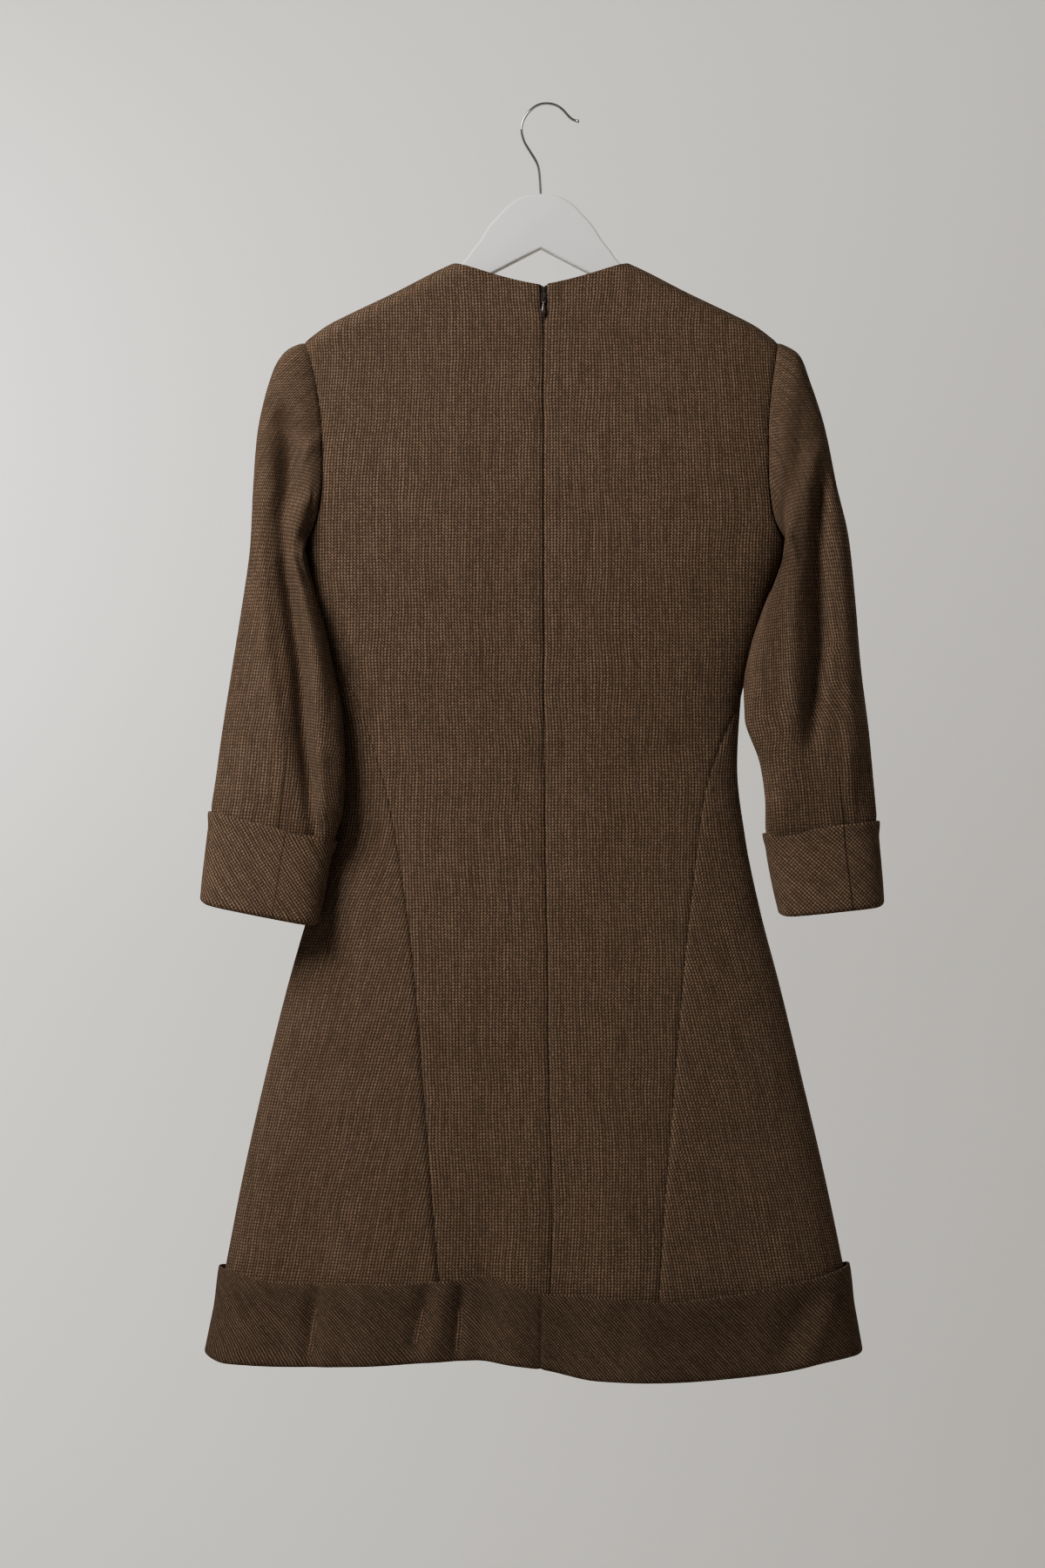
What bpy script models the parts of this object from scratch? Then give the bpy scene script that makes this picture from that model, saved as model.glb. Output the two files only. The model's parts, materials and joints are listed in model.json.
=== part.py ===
"""An a-line dress of brown wool with set-in sleeves and turned-back bands, on a flat hanger.

The origin is the inner top of the hanger's hook, with +Z up. The back of the dress, which has the
zip, faces -Y, and the wearer's left is at -X. The tables are in millimetres. A drop is a distance
below the hook's inner top. The body is a stack of flattened rings, one for each height, and a point
on it is named by its angle round the ring: 0 at the right fold, +90 degrees at the middle of the
front, 180 at the left fold, and -90 at the middle of the back.
"""

import math

import bmesh
import bpy
import numpy as np
from mathutils import Matrix, Vector

MM = 0.001
CLOTH = 2.0  # thickness of the wool
SEAM_GAP = 0.3  # between two pieces at a seam
HALF_TURN = math.pi
FRONT, BACK = 1, -1
LEFT, RIGHT = -1, 1


def table(columns, *rows):
    """Named columns of a short table, with a row for each section."""
    return {name: np.array(values, float) for name, values in zip(columns.split(), zip(*rows))}


# The body's rings. Above the armpit a ring is wider than the cloth, which ends at the armhole.
BODY = table(
    "drop   left    right  half_depth squareness",
    (110, -207.0, 197.0, 21.0, 3.00),
    (195, -207.0, 197.0, 22.0, 3.00),
    (260, -206.0, 197.5, 25.0, 2.90),
    (320, -203.0, 198.5, 28.0, 2.70),
    (360, -196.0, 195.5, 30.0, 2.60),
    (398, -184.3, 183.2, 31.0, 2.50),
    (445, -173.4, 170.6, 31.0, 2.45),
    (490, -166.5, 158.5, 30.0, 2.40),
    (542, -165.0, 155.8, 30.0, 2.40),
    (600, -174.3, 162.4, 33.0, 2.40),
    (660, -194.0, 174.7, 38.0, 2.35),
    (720, -210.3, 190.4, 43.0, 2.30),
    (800, -230.0, 209.6, 47.0, 2.30),
    (880, -247.9, 228.2, 51.0, 2.30),
    (960, -263.0, 244.6, 54.0, 2.30),
    (1045, -279.0, 260.0, 57.0, 2.30),
)
CENTRE_BACK = table(
    "drop    x",
    (110, -2.9),
    (270, -2.9),
    (613, -1.7),
    (666, -0.4),
    (772, 0.9),
    (904, 3.6),
    (970, 2.5),
    (1045, 0.0),
)
# Half of the opening at the top of the zip, which closes below the pull tab.
ZIP_OPENING = table(
    "drop   half",
    (140, 3.90),
    (147, 3.60),
    (157, 3.00),
    (166, 2.60),
    (174, 1.40),
    (184, 0.50),
    (195, 0.15),
    (1045, 0.15),
)
ARMHOLE = table(
    "drop  back_left back_right front_left front_right",
    (195, -198.9, 188.9, -198.9, 188.9),
    (211, -192.8, 186.5, -191.0, 184.5),
    (235, -187.5, 183.0, -184.5, 180.0),
    (270, -183.2, 180.3, -179.0, 176.0),
    (305, -182.5, 180.3, -177.0, 175.0),
    (335, -186.0, 183.5, -180.0, 179.0),
    (349, -190.5, 188.5, -185.0, 184.5),
    (360, -196.0, 195.5, -192.0, 191.5),
)
# The side panels' seams. A value outside the ring puts the seam on the ring's fold.
SIDE_SEAMS = table(
    "drop  back_left back_right front_left front_right",
    (360, -230.0, 235.0, -192.0, 191.5),
    (420, -195.0, 195.0, -165.0, 163.0),
    (463, -171.5, 168.0, -154.0, 149.0),
    (486, -156.0, 158.5, -147.0, 139.0),
    (518, -144.0, 144.0, -138.0, 131.0),
    (565, -130.0, 128.5, -128.5, 124.0),
    (617, -120.0, 121.0, -120.0, 118.0),
    (699, -108.5, 111.5, -109.0, 110.0),
    (809, -99.0, 101.8, -99.0, 101.0),
    (913, -90.5, 93.0, -90.5, 93.0),
    (1045, -79.0, 85.0, -79.0, 85.0),
)
SHOULDER_CENTRE = -5.0
SHOULDER = table(
    "out   drop",
    (0, 113.0),
    (36, 117.0),
    (72, 130.3),
    (122, 155.2),
    (157, 171.8),
    (175, 181.0),
    (194, 195.0),
)
SHOULDER_ROUND = 14.0  # the cloth turns over the shoulder line within this drop
SHOULDER_EDGE = 0.001  # the two sides stop this far below the shoulder line, a seam's gap apart
SHOULDER_TIP_DROP = 195.0
ARMPIT_DROP = 360.0
NECK_HALF_WIDTH = 72.0
NECK_POINT_DROP = 130.3
BACK_NECK_DROP = 147.2
FRONT_NECK_DROP = 188.0
FRONT_NECK_POWER = 1.9

# The hem band, by place across the back; the hidden front of it is level.
HEM = table(
    "x     top    bottom",
    (-282, 951.0, 1020.5),
    (-262, 953.5, 1025.5),
    (-230, 959.0, 1025.5),
    (-150, 958.5, 1023.0),
    (-75, 954.5, 1018.5),
    (-55, 951.5, 1018.0),
    (-30, 957.0, 1021.0),
    (-6, 964.5, 1024.0),
    (40, 967.0, 1033.5),
    (100, 972.5, 1035.5),
    (150, 968.5, 1033.5),
    (190, 963.0, 1030.0),
    (228, 957.0, 1023.5),
    (263, 947.5, 1019.5),
)
HEM_RING_DROP = 1030.0
FRONT_HEM_TOP = 958.0
FRONT_HEM_BOTTOM = 1026.0
HEM_LEVELS_OUT = 0.8  # sine of the angle from which on the hem is level
BAND_GAP = 1.2  # between a turned-back band and what it lies on
HEM_LIP_GAP = 3.5  # the same at its free edge, which stands off a little
CUFF_LIP_GAP = 2.2
HEM_LIP_REACH = 0.6  # share of the hem band's height over which its edge leans out
CUFF_LIP_REACH = 0.06  # the same for a cuff, along the sleeve
HEM_BAND_SEAM_X = -5.5

# Soft flutes of the skirt, from where they start down to the hem. Height is outwards.
FLUTES = table(
    "side  x_top drop_top x_hem width height",
    (BACK, -48, 860, -58, 17, -6.0),
    (BACK, -20, 780, -22, 26, 5.0),
    (BACK, 45, 700, 68, 40, 7.0),
    (BACK, 150, 760, 172, 30, -4.0),
    (BACK, -120, 760, -150, 34, 4.0),
    (BACK, -175, 800, -205, 22, -3.5),
    (FRONT, -90, 640, -120, 40, 8.0),
    (FRONT, -20, 700, -25, 34, -6.0),
    (FRONT, 70, 650, 90, 44, 8.0),
    (FRONT, 150, 760, 180, 26, -4.0),
)

# Sections of a sleeve, from the armhole (0) to the cuff's free edge (1) and the sleeve's end.
# outer and inner are the two folds of the flattened tube; lean is the section's middle in Y.
# A long trough runs down each side; trough_at is its place from the outer fold to the inner one.
SLEEVE_COLUMNS = (
    "along outer_x outer_drop inner_x inner_drop half_depth lean trough_at trough_depth"
)
SLEEVE_END = 1.16
SLEEVES = {
    LEFT: table(
        SLEEVE_COLUMNS,
        (0.00, -198.9, 195.0, -196.0, 360.0, 14.0, 0.0, 0.20, 0.0),
        (0.04, -211.1, 202.5, -200.0, 363.6, 18.0, 0.0, 0.20, 0.0),
        (0.09, -223.2, 218.2, -199.3, 370.8, 20.0, 0.0, 0.20, 0.0),
        (0.16, -231.0, 239.6, -195.4, 383.6, 21.5, 0.0, 0.20, 1.0),
        (0.26, -237.4, 273.1, -189.9, 400.7, 23.0, -1.0, 0.23, 4.0),
        (0.38, -240.3, 313.7, -183.4, 418.5, 24.0, -2.0, 0.28, 8.0),
        (0.50, -242.4, 360.1, -178.0, 442.1, 25.0, -4.0, 0.35, 9.0),
        (0.62, -248.8, 408.5, -172.8, 470.6, 25.0, -6.0, 0.44, 9.0),
        (0.74, -256.7, 459.9, -169.5, 504.8, 25.0, -9.0, 0.53, 8.0),
        (0.86, -265.2, 516.9, -170.3, 544.7, 25.0, -13.0, 0.65, 6.0),
        (1.00, -272.0, 578.2, -179.5, 603.2, 25.0, -21.0, 0.78, 1.0),
        (SLEEVE_END, -278.0, 644.0, -190.5, 662.5, 25.0, -34.0, 0.78, 0.0),
    ),
    RIGHT: table(
        SLEEVE_COLUMNS,
        (0.00, 188.9, 195.0, 195.5, 360.0, 14.0, 0.0, 0.30, 0.0),
        (0.04, 203.2, 204.6, 199.0, 363.6, 18.0, 0.0, 0.30, 0.0),
        (0.09, 211.8, 219.6, 197.5, 372.2, 20.0, 0.0, 0.30, 0.0),
        (0.16, 220.3, 241.0, 192.5, 385.0, 21.5, 0.0, 0.33, 2.0),
        (0.26, 228.9, 270.9, 186.1, 402.1, 23.0, -1.0, 0.36, 5.0),
        (0.38, 236.7, 310.9, 180.8, 420.7, 24.0, -2.0, 0.38, 7.0),
        (0.50, 246.7, 356.5, 174.0, 445.6, 25.0, -3.0, 0.42, 8.0),
        (0.62, 251.7, 406.4, 165.1, 477.7, 25.0, -5.0, 0.43, 8.0),
        (0.74, 256.0, 459.9, 163.6, 503.4, 25.0, -7.0, 0.47, 6.0),
        (0.86, 263.1, 519.1, 172.2, 541.9, 25.0, -9.0, 0.57, 3.0),
        (1.00, 269.0, 586.8, 178.5, 596.8, 25.0, -12.0, 0.60, 0.0),
        (SLEEVE_END, 274.0, 647.0, 186.0, 656.0, 25.0, -16.0, 0.60, 0.0),
    ),
}
SLEEVE_SQUARENESS = 2.3
SLEEVE_HEAD = 0.35  # the sleeve's sections forget the armhole's outline over this stretch
UNDERARM_HEAD = 0.08  # the same under the arm
UNDERARM_SPREAD = 1.0  # angle over which the one passes into the other
EDGE_SPREAD = 0.45, 0.6  # angles over which the sleeve's edge turns to follow the body's cloth
TROUGH_WIDTH = 0.15
TROUGH_SIDES = 1.5  # how steeply a trough starts at the sleeve's two folds
FRONT_TROUGH_SHIFT = 0.06
FRONT_TROUGH_SHARE = 0.8
UNDERARM_ARC = math.radians(14)  # share of a sleeve's section that is sewn to the side panel

# How finely the cloth is divided.
ARM_ROWS = 10
SKIRT_ROWS = 15
SKIRT_CROWDING = 1.25  # draws the skirt's rows up towards the armpit
SIDE_TOP_GAP = 1.5 * SEAM_GAP
RING_NUDGE = 0.5  # half the height over which a ring's slope is measured
NECK_COLUMNS = 4
SHOULDER_COLUMNS = 6
SIDE_COLUMNS = 8
UNDERARM_COLUMNS = 2
SLEEVE_STATIONS = (
    0.0, 0.03, 0.08, 0.14, 0.21, 0.29, 0.37, 0.46, 0.55, 0.64, 0.73, 0.82, 0.91, 1.0, 1.08, SLEEVE_END,
)
CUFF_STATIONS = (1.0, 1.05, 1.105, SLEEVE_END)
BAND_ROWS = 4

# The zip: two tapes behind the back panels, a slider in the opening and its pull tab.
ZIP_LENGTH = 560.0
ZIP_TOP_DROP = 149.5
TAPE_WIDTH = 12.0
TAPE_THICKNESS = 1.0
TAPE_SHOWS = 1.1  # how far a tape's toothed edge stands out of the panel's edge
SLIDER = {"width": 4.2, "height": 7.5, "thickness": 1.7, "top_drop": 157.6}
BRIDGE = {"width": 1.0, "half_length": 1.65, "clear_length": 1.1, "rise": 1.8, "wall": 0.7, "bevel": 0.5}
TAB = {"length": 16.0, "bar": 0.9, "window": 2.3, "neck_half": 1.6, "widest_half": 2.1, "bevel": 0.4}
TAB_NECK_TAPER = 0.1
TAB_WINDOW_HALF = 0.95
TAB_AXIS_DROP = 161.6
TAB_AXIS_RISE = 0.9  # the pull tab's axis stands this far out from the slider's face

# The hanger: a flat arch with long arms, and its wire hook.
HANGER_TOP = table(
    "out   drop",
    (0, 73.8),
    (10, 74.4),
    (17, 76.6),
    (26, 82.0),
    (34.5, 90.6),
    (43.5, 100.8),
    (50, 111.2),
    (57, 120.1),
    (61.5, 126.6),
    (66, 131.6),
)
HANGER_THICKNESS = 12.0
HANGER_EDGE_ROUND = 4.0
HANGER_BELOW_SHOULDER = 3.4  # the cloth's wall and a hair of clearance
HANGER_ARM_START = 72.0
HANGER_ARM_END = 172.0
HANGER_NOTCH_DROP = 118.4
HANGER_UNDERSIDE_SLOPE = 0.532
HANGER_END_HEIGHT = 22.0
WIRE_DIAMETER = 2.4
HOOK_ROUTE = (  # x and height of the wire's middle, from the stem's foot to its tip
    (-5.0, -73.4),
    (-5.6, -62.0),
    (-6.9, -50.6),
    (-12.9, -39.9),
    (-19.6, -27.6),
    (-21.0, -19.3),
    (-18.4, -10.7),
    (-12.6, -3.6),
    (-5.6, 0.5),
    (0.4, 1.2),
    (7.6, -0.4),
    (13.7, -4.6),
    (18.2, -10.2),
    (22.6, -13.6),
    (26.7, -13.8),
)
HOOK_STEPS_PER_POINT = 3
HOOK_TIP_SWELL = 1.55


def smooth(at, places, values):
    """Cubic through a table's rows that never runs past them.

    A row's slope is the harmonic mean of the slopes before and after it, and level at a turn.
    """
    at = np.clip(at, places[0], places[-1])
    steps = np.diff(places)
    steep = np.diff(values) / steps
    before, after = steep[:-1], steep[1:]
    weight = 2 * steps[1:] + steps[:-1], steps[1:] + 2 * steps[:-1]
    same_way = before * after > 0
    safe = np.where(same_way, before, 1), np.where(same_way, after, 1)
    inner = np.where(same_way, sum(weight) / (weight[0] / safe[0] + weight[1] / safe[1]), 0)
    slopes = np.concatenate([steep[:1], inner, steep[-1:]])
    i = np.clip(np.searchsorted(places, at, side="right") - 1, 0, len(places) - 2)
    t = (at - places[i]) / steps[i]
    rise = values[i + 1] - values[i]
    bend = (slopes[i] * steps[i] - rise) * (1 - t) - (slopes[i + 1] * steps[i] - rise) * t
    return values[i] + rise * t + bend * t * (1 - t)


def column(rows, name, at, key="drop"):
    return smooth(np.asarray(at, float), rows[key], rows[name])


def power(value, exponent):
    """A power that keeps the sign."""
    return np.sign(value) * np.abs(value) ** exponent


def step_up(value):
    """0 below 0, 1 above 1, and a soft step between them."""
    t = np.clip(value, 0, 1)
    return t * t * (3 - 2 * t)


def blend(a, b, share):
    return a + (b - a) * share


def unit(vectors):
    return vectors / np.maximum(np.linalg.norm(vectors, axis=-1, keepdims=True), 1e-12)


def ring(drop):
    """Middle, half width, half depth and squareness of the body's ring at a drop."""
    left, right = column(BODY, "left", drop), column(BODY, "right", drop)
    return (
        (left + right) / 2,
        (right - left) / 2,
        column(BODY, "half_depth", drop),
        column(BODY, "squareness", drop),
    )


def angle_at(x, drop, side):
    """Angle round the ring of a place across it, on its back or front."""
    middle, half_width, _, _ = ring(drop)
    return side * np.arccos(np.clip((x - middle) / half_width, -1, 1))


def shoulder_drop(x):
    return column(SHOULDER, "drop", np.abs(x - SHOULDER_CENTRE), key="out")


def top_drop(x, side):
    """Drop of a panel's upper edge: the neckline between the neck points, then the shoulder."""
    across = np.minimum(np.abs(x - SHOULDER_CENTRE) / NECK_HALF_WIDTH, 1)
    lowest = FRONT_NECK_DROP if side == FRONT else BACK_NECK_DROP
    neck = lowest - (lowest - NECK_POINT_DROP) * across ** (FRONT_NECK_POWER if side == FRONT else 1)
    return np.where(across < 1, neck, shoulder_drop(x) + SHOULDER_EDGE)


def hem_drop(angle, edge):
    """Drop of the hem band's top or bottom at an angle: the table's behind, level in front."""
    middle, half_width, _, _ = ring(HEM_RING_DROP)
    x = middle + half_width * np.cos(angle)
    level = FRONT_HEM_TOP if edge == "top" else FRONT_HEM_BOTTOM
    return blend(column(HEM, edge, x, key="x"), level, step_up(np.sin(angle) / HEM_LEVELS_OUT))


def flutes(x, drop, angle):
    """Outward height of the skirt's flutes: bell-shaped across, and growing towards the hem."""
    side, height = np.where(np.sin(angle) < 0, BACK, FRONT), 0.0
    for i in range(len(FLUTES["side"])):
        row = {name: values[i] for name, values in FLUTES.items()}
        down = (drop - row["drop_top"]) / (HEM_RING_DROP - row["drop_top"])
        across = (x - blend(row["x_top"], row["x_hem"], down)) / row["width"]
        bell = np.exp(-(across**2)) * step_up(down) * np.abs(np.sin(angle))
        height = height + np.where(side == row["side"], row["height"] * bell, 0.0)
    return height


def body_point(angle, drop, out=0.0):
    """A point of the body, and the outward normal there.

    Across the ring |u|^k + |y / depth|^k = 1, where u is the cosine of the angle. Near the
    shoulder line the depth is rounded to nothing by a quarter of an ellipse. The normal is the
    gradient of that equation. The flutes and out move the point along the normal.
    """
    drop = np.asarray(drop, float)
    middle, width, depth, k = ring(drop)
    u = np.cos(angle)
    x = middle + width * u
    below = np.maximum(drop - shoulder_drop(x), SHOULDER_EDGE) / SHOULDER_ROUND
    rest = np.clip(1 - below, 0, 1)
    rounding = np.sqrt(1 - rest**2)
    q = 1 - np.abs(u) ** k
    y = np.sign(np.sin(angle)) * depth * rounding * np.maximum(q, 0) ** (1 / k)

    before, after = ring(drop - RING_NUDGE), ring(drop + RING_NUDGE)
    step = 2 * RING_NUDGE
    middle_slope, width_slope, depth_slope = ((after[i] - before[i]) / step for i in range(3))
    shoulder_slope = (shoulder_drop(x + RING_NUDGE) - shoulder_drop(x - RING_NUDGE)) / step
    turning = rest / SHOULDER_ROUND / rounding**2
    across = power(u, k - 1) / width
    along_x = across + q * turning * shoulder_slope
    along_y = power(y, k - 1) / (depth * rounding) ** k
    down = (
        -np.abs(u) ** k * width_slope / width
        - across * middle_slope
        - q * depth_slope / depth
        - q * turning
    )
    normal = unit(np.stack([along_x, along_y, -down], axis=-1))
    point = np.stack([x, y, -drop], axis=-1)
    return point + normal * (flutes(x, drop, angle) + out)[..., None], normal


def armhole_x(drop, side, hand):
    name = ("front" if side == FRONT else "back") + ("_left" if hand == LEFT else "_right")
    seam, hole = column(SIDE_SEAMS, name, drop), column(ARMHOLE, name, drop)
    return np.where(drop > ARMPIT_DROP, seam, hole)


def edge_angle(drop, side, hand):
    """Angle of a panel's outer edge: the armhole above the armpit, and the side seam below it."""
    return angle_at(armhole_x(drop, side, hand), drop, side)


def centre_back_angle(drop, hand):
    x = column(CENTRE_BACK, "x", drop) + hand * column(ZIP_OPENING, "half", drop)
    return angle_at(x, drop, BACK)


def arm_shares():
    """Shares of the way down an armhole, close together at the shoulder and the armpit."""
    turns = np.linspace(0, HALF_TURN, ARM_ROWS + 1)
    return (1 - np.cos(np.insert(turns, 1, turns[1] / 2))) / 2


def skirt_shares():
    """Shares of the way from the armpit to the hem, closer together at the armpit."""
    return np.linspace(0, 1, SKIRT_ROWS + 1) ** SKIRT_CROWDING


def wall(outer, normals, thickness=CLOTH):
    return outer, outer - normals * thickness


def draw_back(points, first, last):
    """Moves a grid's first or last column in by half a seam's gap."""
    points = points.copy()
    if first:
        points[:, 0] += unit(points[:, 1] - points[:, 0]) * SEAM_GAP / 2
    if last:
        points[:, -1] += unit(points[:, -2] - points[:, -1]) * SEAM_GAP / 2
    return points


def split(points, quads):
    """Triangles of four-sided faces, each cut along its shorter diagonal.

    Both sides of a wall are cut alike, so that they can't pass through each other in a tight fold.
    """
    a, b, c, d = quads.T
    first = np.linalg.norm(points[a] - points[c], axis=1) <= np.linalg.norm(points[b] - points[d], axis=1)
    one = np.where(first, [a, b, c], [a, b, d]).T
    other = np.where(first, [a, c, d], [b, c, d]).T
    return np.concatenate([one, other])


def cloth(name, outer, inner, material, closed=False):
    """A closed wall between two grids of points, joined along their free edges."""
    rows, columns = outer.shape[:2]
    number = np.arange(rows * columns).reshape(rows, columns)
    across = np.concatenate([number, number[:, :1]], axis=1) if closed else number
    corners = across[:-1, :-1], across[:-1, 1:], across[1:, 1:], across[1:, :-1]
    points = np.concatenate([outer.reshape(-1, 3), inner.reshape(-1, 3)])
    under = rows * columns
    face = split(points, np.stack(corners, axis=-1).reshape(-1, 4))
    faces = [face, face[:, ::-1] + under]
    edges = [across[0], across[-1][::-1]]
    if not closed:
        edges += [across[:, 0][::-1], across[:, -1]]
    for edge in edges:
        rim = np.stack([edge[1:], edge[:-1], edge[:-1] + under, edge[1:] + under], axis=-1)
        faces.append(split(points, rim))
    mesh = bpy.data.meshes.new(name)
    mesh.from_pydata((points * MM).tolist(), [], np.concatenate(faces).tolist())
    return finish(name, mesh, material)


def finish(name, mesh, material, smooth_angle=40):
    """Puts a mesh in the scene, with its faces pointing out and its round sides shaded smooth."""
    shape = bmesh.new()
    shape.from_mesh(mesh)
    bmesh.ops.recalc_face_normals(shape, faces=shape.faces)
    shape.to_mesh(mesh)
    shape.free()
    mesh.shade_smooth()
    mesh.set_sharp_from_angle(angle=math.radians(smooth_angle))
    mesh.materials.append(material)
    thing = bpy.data.objects.new(name, mesh)
    DRESS.objects.link(thing)
    return thing


def finish_material(name, colour, roughness, metallic=0.0):
    material = bpy.data.materials.new(name)
    material.use_nodes = True
    shader = material.node_tree.nodes["Principled BSDF"]
    shader.inputs["Base Color"].default_value = (*colour, 1)
    shader.inputs["Roughness"].default_value = roughness
    shader.inputs["Metallic"].default_value = metallic
    return material


def panel_rows(top, bottom):
    """Drops down a panel, for each of its columns: armhole rows, then evenly down to the hem."""
    arm = blend(top, ARMPIT_DROP, arm_shares()[:, None])
    skirt = blend(ARMPIT_DROP, bottom, skirt_shares()[1:, None])
    return np.concatenate([arm, skirt])


def skirt_end(angles):
    """Drop of the skirt's own edge, which stops above the turn of the hem band."""
    return hem_drop(angles, "bottom") - CLOTH - 2 * SEAM_GAP


def neck_spacing():
    """Shares from the middle to a neck point, closer together towards the neck point."""
    return np.sin(np.linspace(0, HALF_TURN / 2, NECK_COLUMNS + 1))


def back_shares(hand):
    """Shares from the centre back to the shoulder tip, with one at the neck point."""
    neck_x = SHOULDER_CENTRE + hand * NECK_HALF_WIDTH
    start, end = centre_back_angle(BACK_NECK_DROP, hand), edge_angle(SHOULDER_TIP_DROP, BACK, hand)
    neck = float((angle_at(neck_x, NECK_POINT_DROP, BACK) - start) / (end - start))
    return np.concatenate([neck * neck_spacing(), np.linspace(neck, 1, SHOULDER_COLUMNS + 1)[1:]])


def front_shares():
    """Shares from the left shoulder tip to the right one, with one at each neck point."""
    start, end = (edge_angle(SHOULDER_TIP_DROP, FRONT, hand) for hand in (LEFT, RIGHT))
    neck = [
        float((angle_at(SHOULDER_CENTRE + hand * NECK_HALF_WIDTH, NECK_POINT_DROP, FRONT) - start))
        / float(end - start)
        for hand in (LEFT, RIGHT)
    ]
    return np.concatenate(
        [
            np.linspace(0, neck[0], SHOULDER_COLUMNS + 1),
            blend(neck[0], neck[1], (1 - neck_spacing()[::-1]) / 2)[1:],
            blend(neck[0], neck[1], (1 + neck_spacing()) / 2)[1:],
            np.linspace(neck[1], 1, SHOULDER_COLUMNS + 1)[1:],
        ]
    )


def main_panel(shares, side, first_edge, last_edge):
    """Grid of a back or front panel: angle and drop of each point, between two edges."""
    def angles(drop):
        return blend(first_edge(drop), last_edge(drop), shares)

    top = np.full(len(shares), NECK_POINT_DROP)
    middle, half_width, _, _ = ring(top)
    top = top_drop(middle + half_width * np.cos(angles(top)), side)
    drops = panel_rows(top, skirt_end(angles(np.full(len(shares), HEM_RING_DROP))))
    grid = blend(first_edge(drops), last_edge(drops), shares)
    return body_point(grid, drops)


def side_edges(drop, hand):
    """Angles of a side panel's back and front seams, which run on past the side fold."""
    back, front = edge_angle(drop, BACK, hand), edge_angle(drop, FRONT, hand)
    return back, front - 2 * HALF_TURN if hand == LEFT else front


def side_panel(hand):
    shares = np.linspace(0, 1, SIDE_COLUMNS + 1)
    back, front = side_edges(HEM_RING_DROP, hand)
    ends = skirt_end(blend(back, front, shares))
    drops = blend(ARMPIT_DROP, ends, skirt_shares()[:, None])
    drops[0] += SIDE_TOP_GAP
    back, front = side_edges(drops, hand)
    return body_point(blend(back, front, shares), drops)


def armhole_loop(hand):
    """Points and body normals round an armhole, and the angle of each round the sleeve.

    It goes from the shoulder tip down the back, under the arm on the side panel, and up the front.
    """
    shares = arm_shares()
    drops = blend(SHOULDER_TIP_DROP, ARMPIT_DROP, shares)
    drops[0] += SHOULDER_EDGE
    turns = np.arccos(1 - 2 * shares)
    back, back_normals = body_point(edge_angle(drops, BACK, hand), drops)
    back[0, 1] = 0
    under_shares = np.linspace(0, 1, UNDERARM_COLUMNS + 1)
    under_drops = np.full(len(under_shares), ARMPIT_DROP + SHOULDER_EDGE)
    start, end = side_edges(under_drops, hand)
    under, under_normals = body_point(blend(start, end, under_shares), under_drops)
    front, front_normals = body_point(edge_angle(drops, FRONT, hand), drops)
    points = np.concatenate([back[:-1], under[:-1], front[:0:-1]])
    normals = np.concatenate([back_normals[:-1], under_normals[:-1], front_normals[:0:-1]])
    under_turns = HALF_TURN + under_shares * UNDERARM_ARC
    front_turns = 2 * HALF_TURN - turns * (HALF_TURN - UNDERARM_ARC) / HALF_TURN
    return points, normals, np.concatenate([turns[:-1], under_turns[:-1], front_turns[:0:-1]])


def sleeve_sections(hand, turns, along, folded=True):
    """Points of a sleeve's plain sections: flattened rings from the outer fold to the inner one."""
    at = {name: column(SLEEVES[hand], name, along, key="along")[:, None] for name in SLEEVES[hand]}
    u = np.cos(turns)
    across = (1 - u) / 2
    depth = (1 - np.abs(u) ** SLEEVE_SQUARENESS) ** (1 / SLEEVE_SQUARENESS) * np.sign(np.sin(turns))
    x = blend(at["outer_x"], at["inner_x"], across)
    z = -blend(at["outer_drop"], at["inner_drop"], across)
    y = at["lean"] - at["half_depth"] * depth
    if folded:
        trough = np.exp(-(((across - at["trough_at"]) / TROUGH_WIDTH) ** 2))
        behind = np.exp(-(((across - at["trough_at"] - FRONT_TROUGH_SHIFT) / TROUGH_WIDTH) ** 2))
        pressed = np.where(depth > 0, trough, -FRONT_TROUGH_SHARE * behind)
        y = y + at["trough_depth"] * pressed * np.minimum(np.abs(depth) * TROUGH_SIDES, 1)
    return np.stack([x, y, z], axis=-1)


def ring_normals(points):
    """Outward normals of a grid of closed rings."""
    round_it = np.roll(points, -1, axis=1) - np.roll(points, 1, axis=1)
    normals = unit(np.cross(round_it, np.gradient(points, axis=0)))
    outward = ((points - points.mean(axis=1, keepdims=True)) * normals).sum(axis=-1)
    return normals * np.sign(np.median(outward))


def sleeve(hand, name, material):
    loop, body_normals, turns = armhole_loop(hand)
    along = np.array(SLEEVE_STATIONS)
    points = sleeve_sections(hand, turns, along)
    from_armpit = np.abs(turns - HALF_TURN - UNDERARM_ARC / 2)
    head = blend(UNDERARM_HEAD, SLEEVE_HEAD, step_up((from_armpit - UNDERARM_ARC) / UNDERARM_SPREAD))
    leaving = 1 - step_up(along[:, None] / head)
    points = points + (loop - points[0]) * leaving[..., None]
    points[0] += unit(points[1] - points[0]) * SEAM_GAP / 2
    points[-1] += unit(points[-2] - points[-1]) * (CLOTH + SEAM_GAP)  # just above the cuff's turn
    normals = ring_normals(points)
    start, spread = EDGE_SPREAD
    shared = step_up((np.abs(turns - HALF_TURN) - start) / spread)[:, None]
    normals[0] = unit(blend(normals[0], body_normals, shared))
    return cloth(name, *wall(points, normals), material, closed=True)


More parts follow.
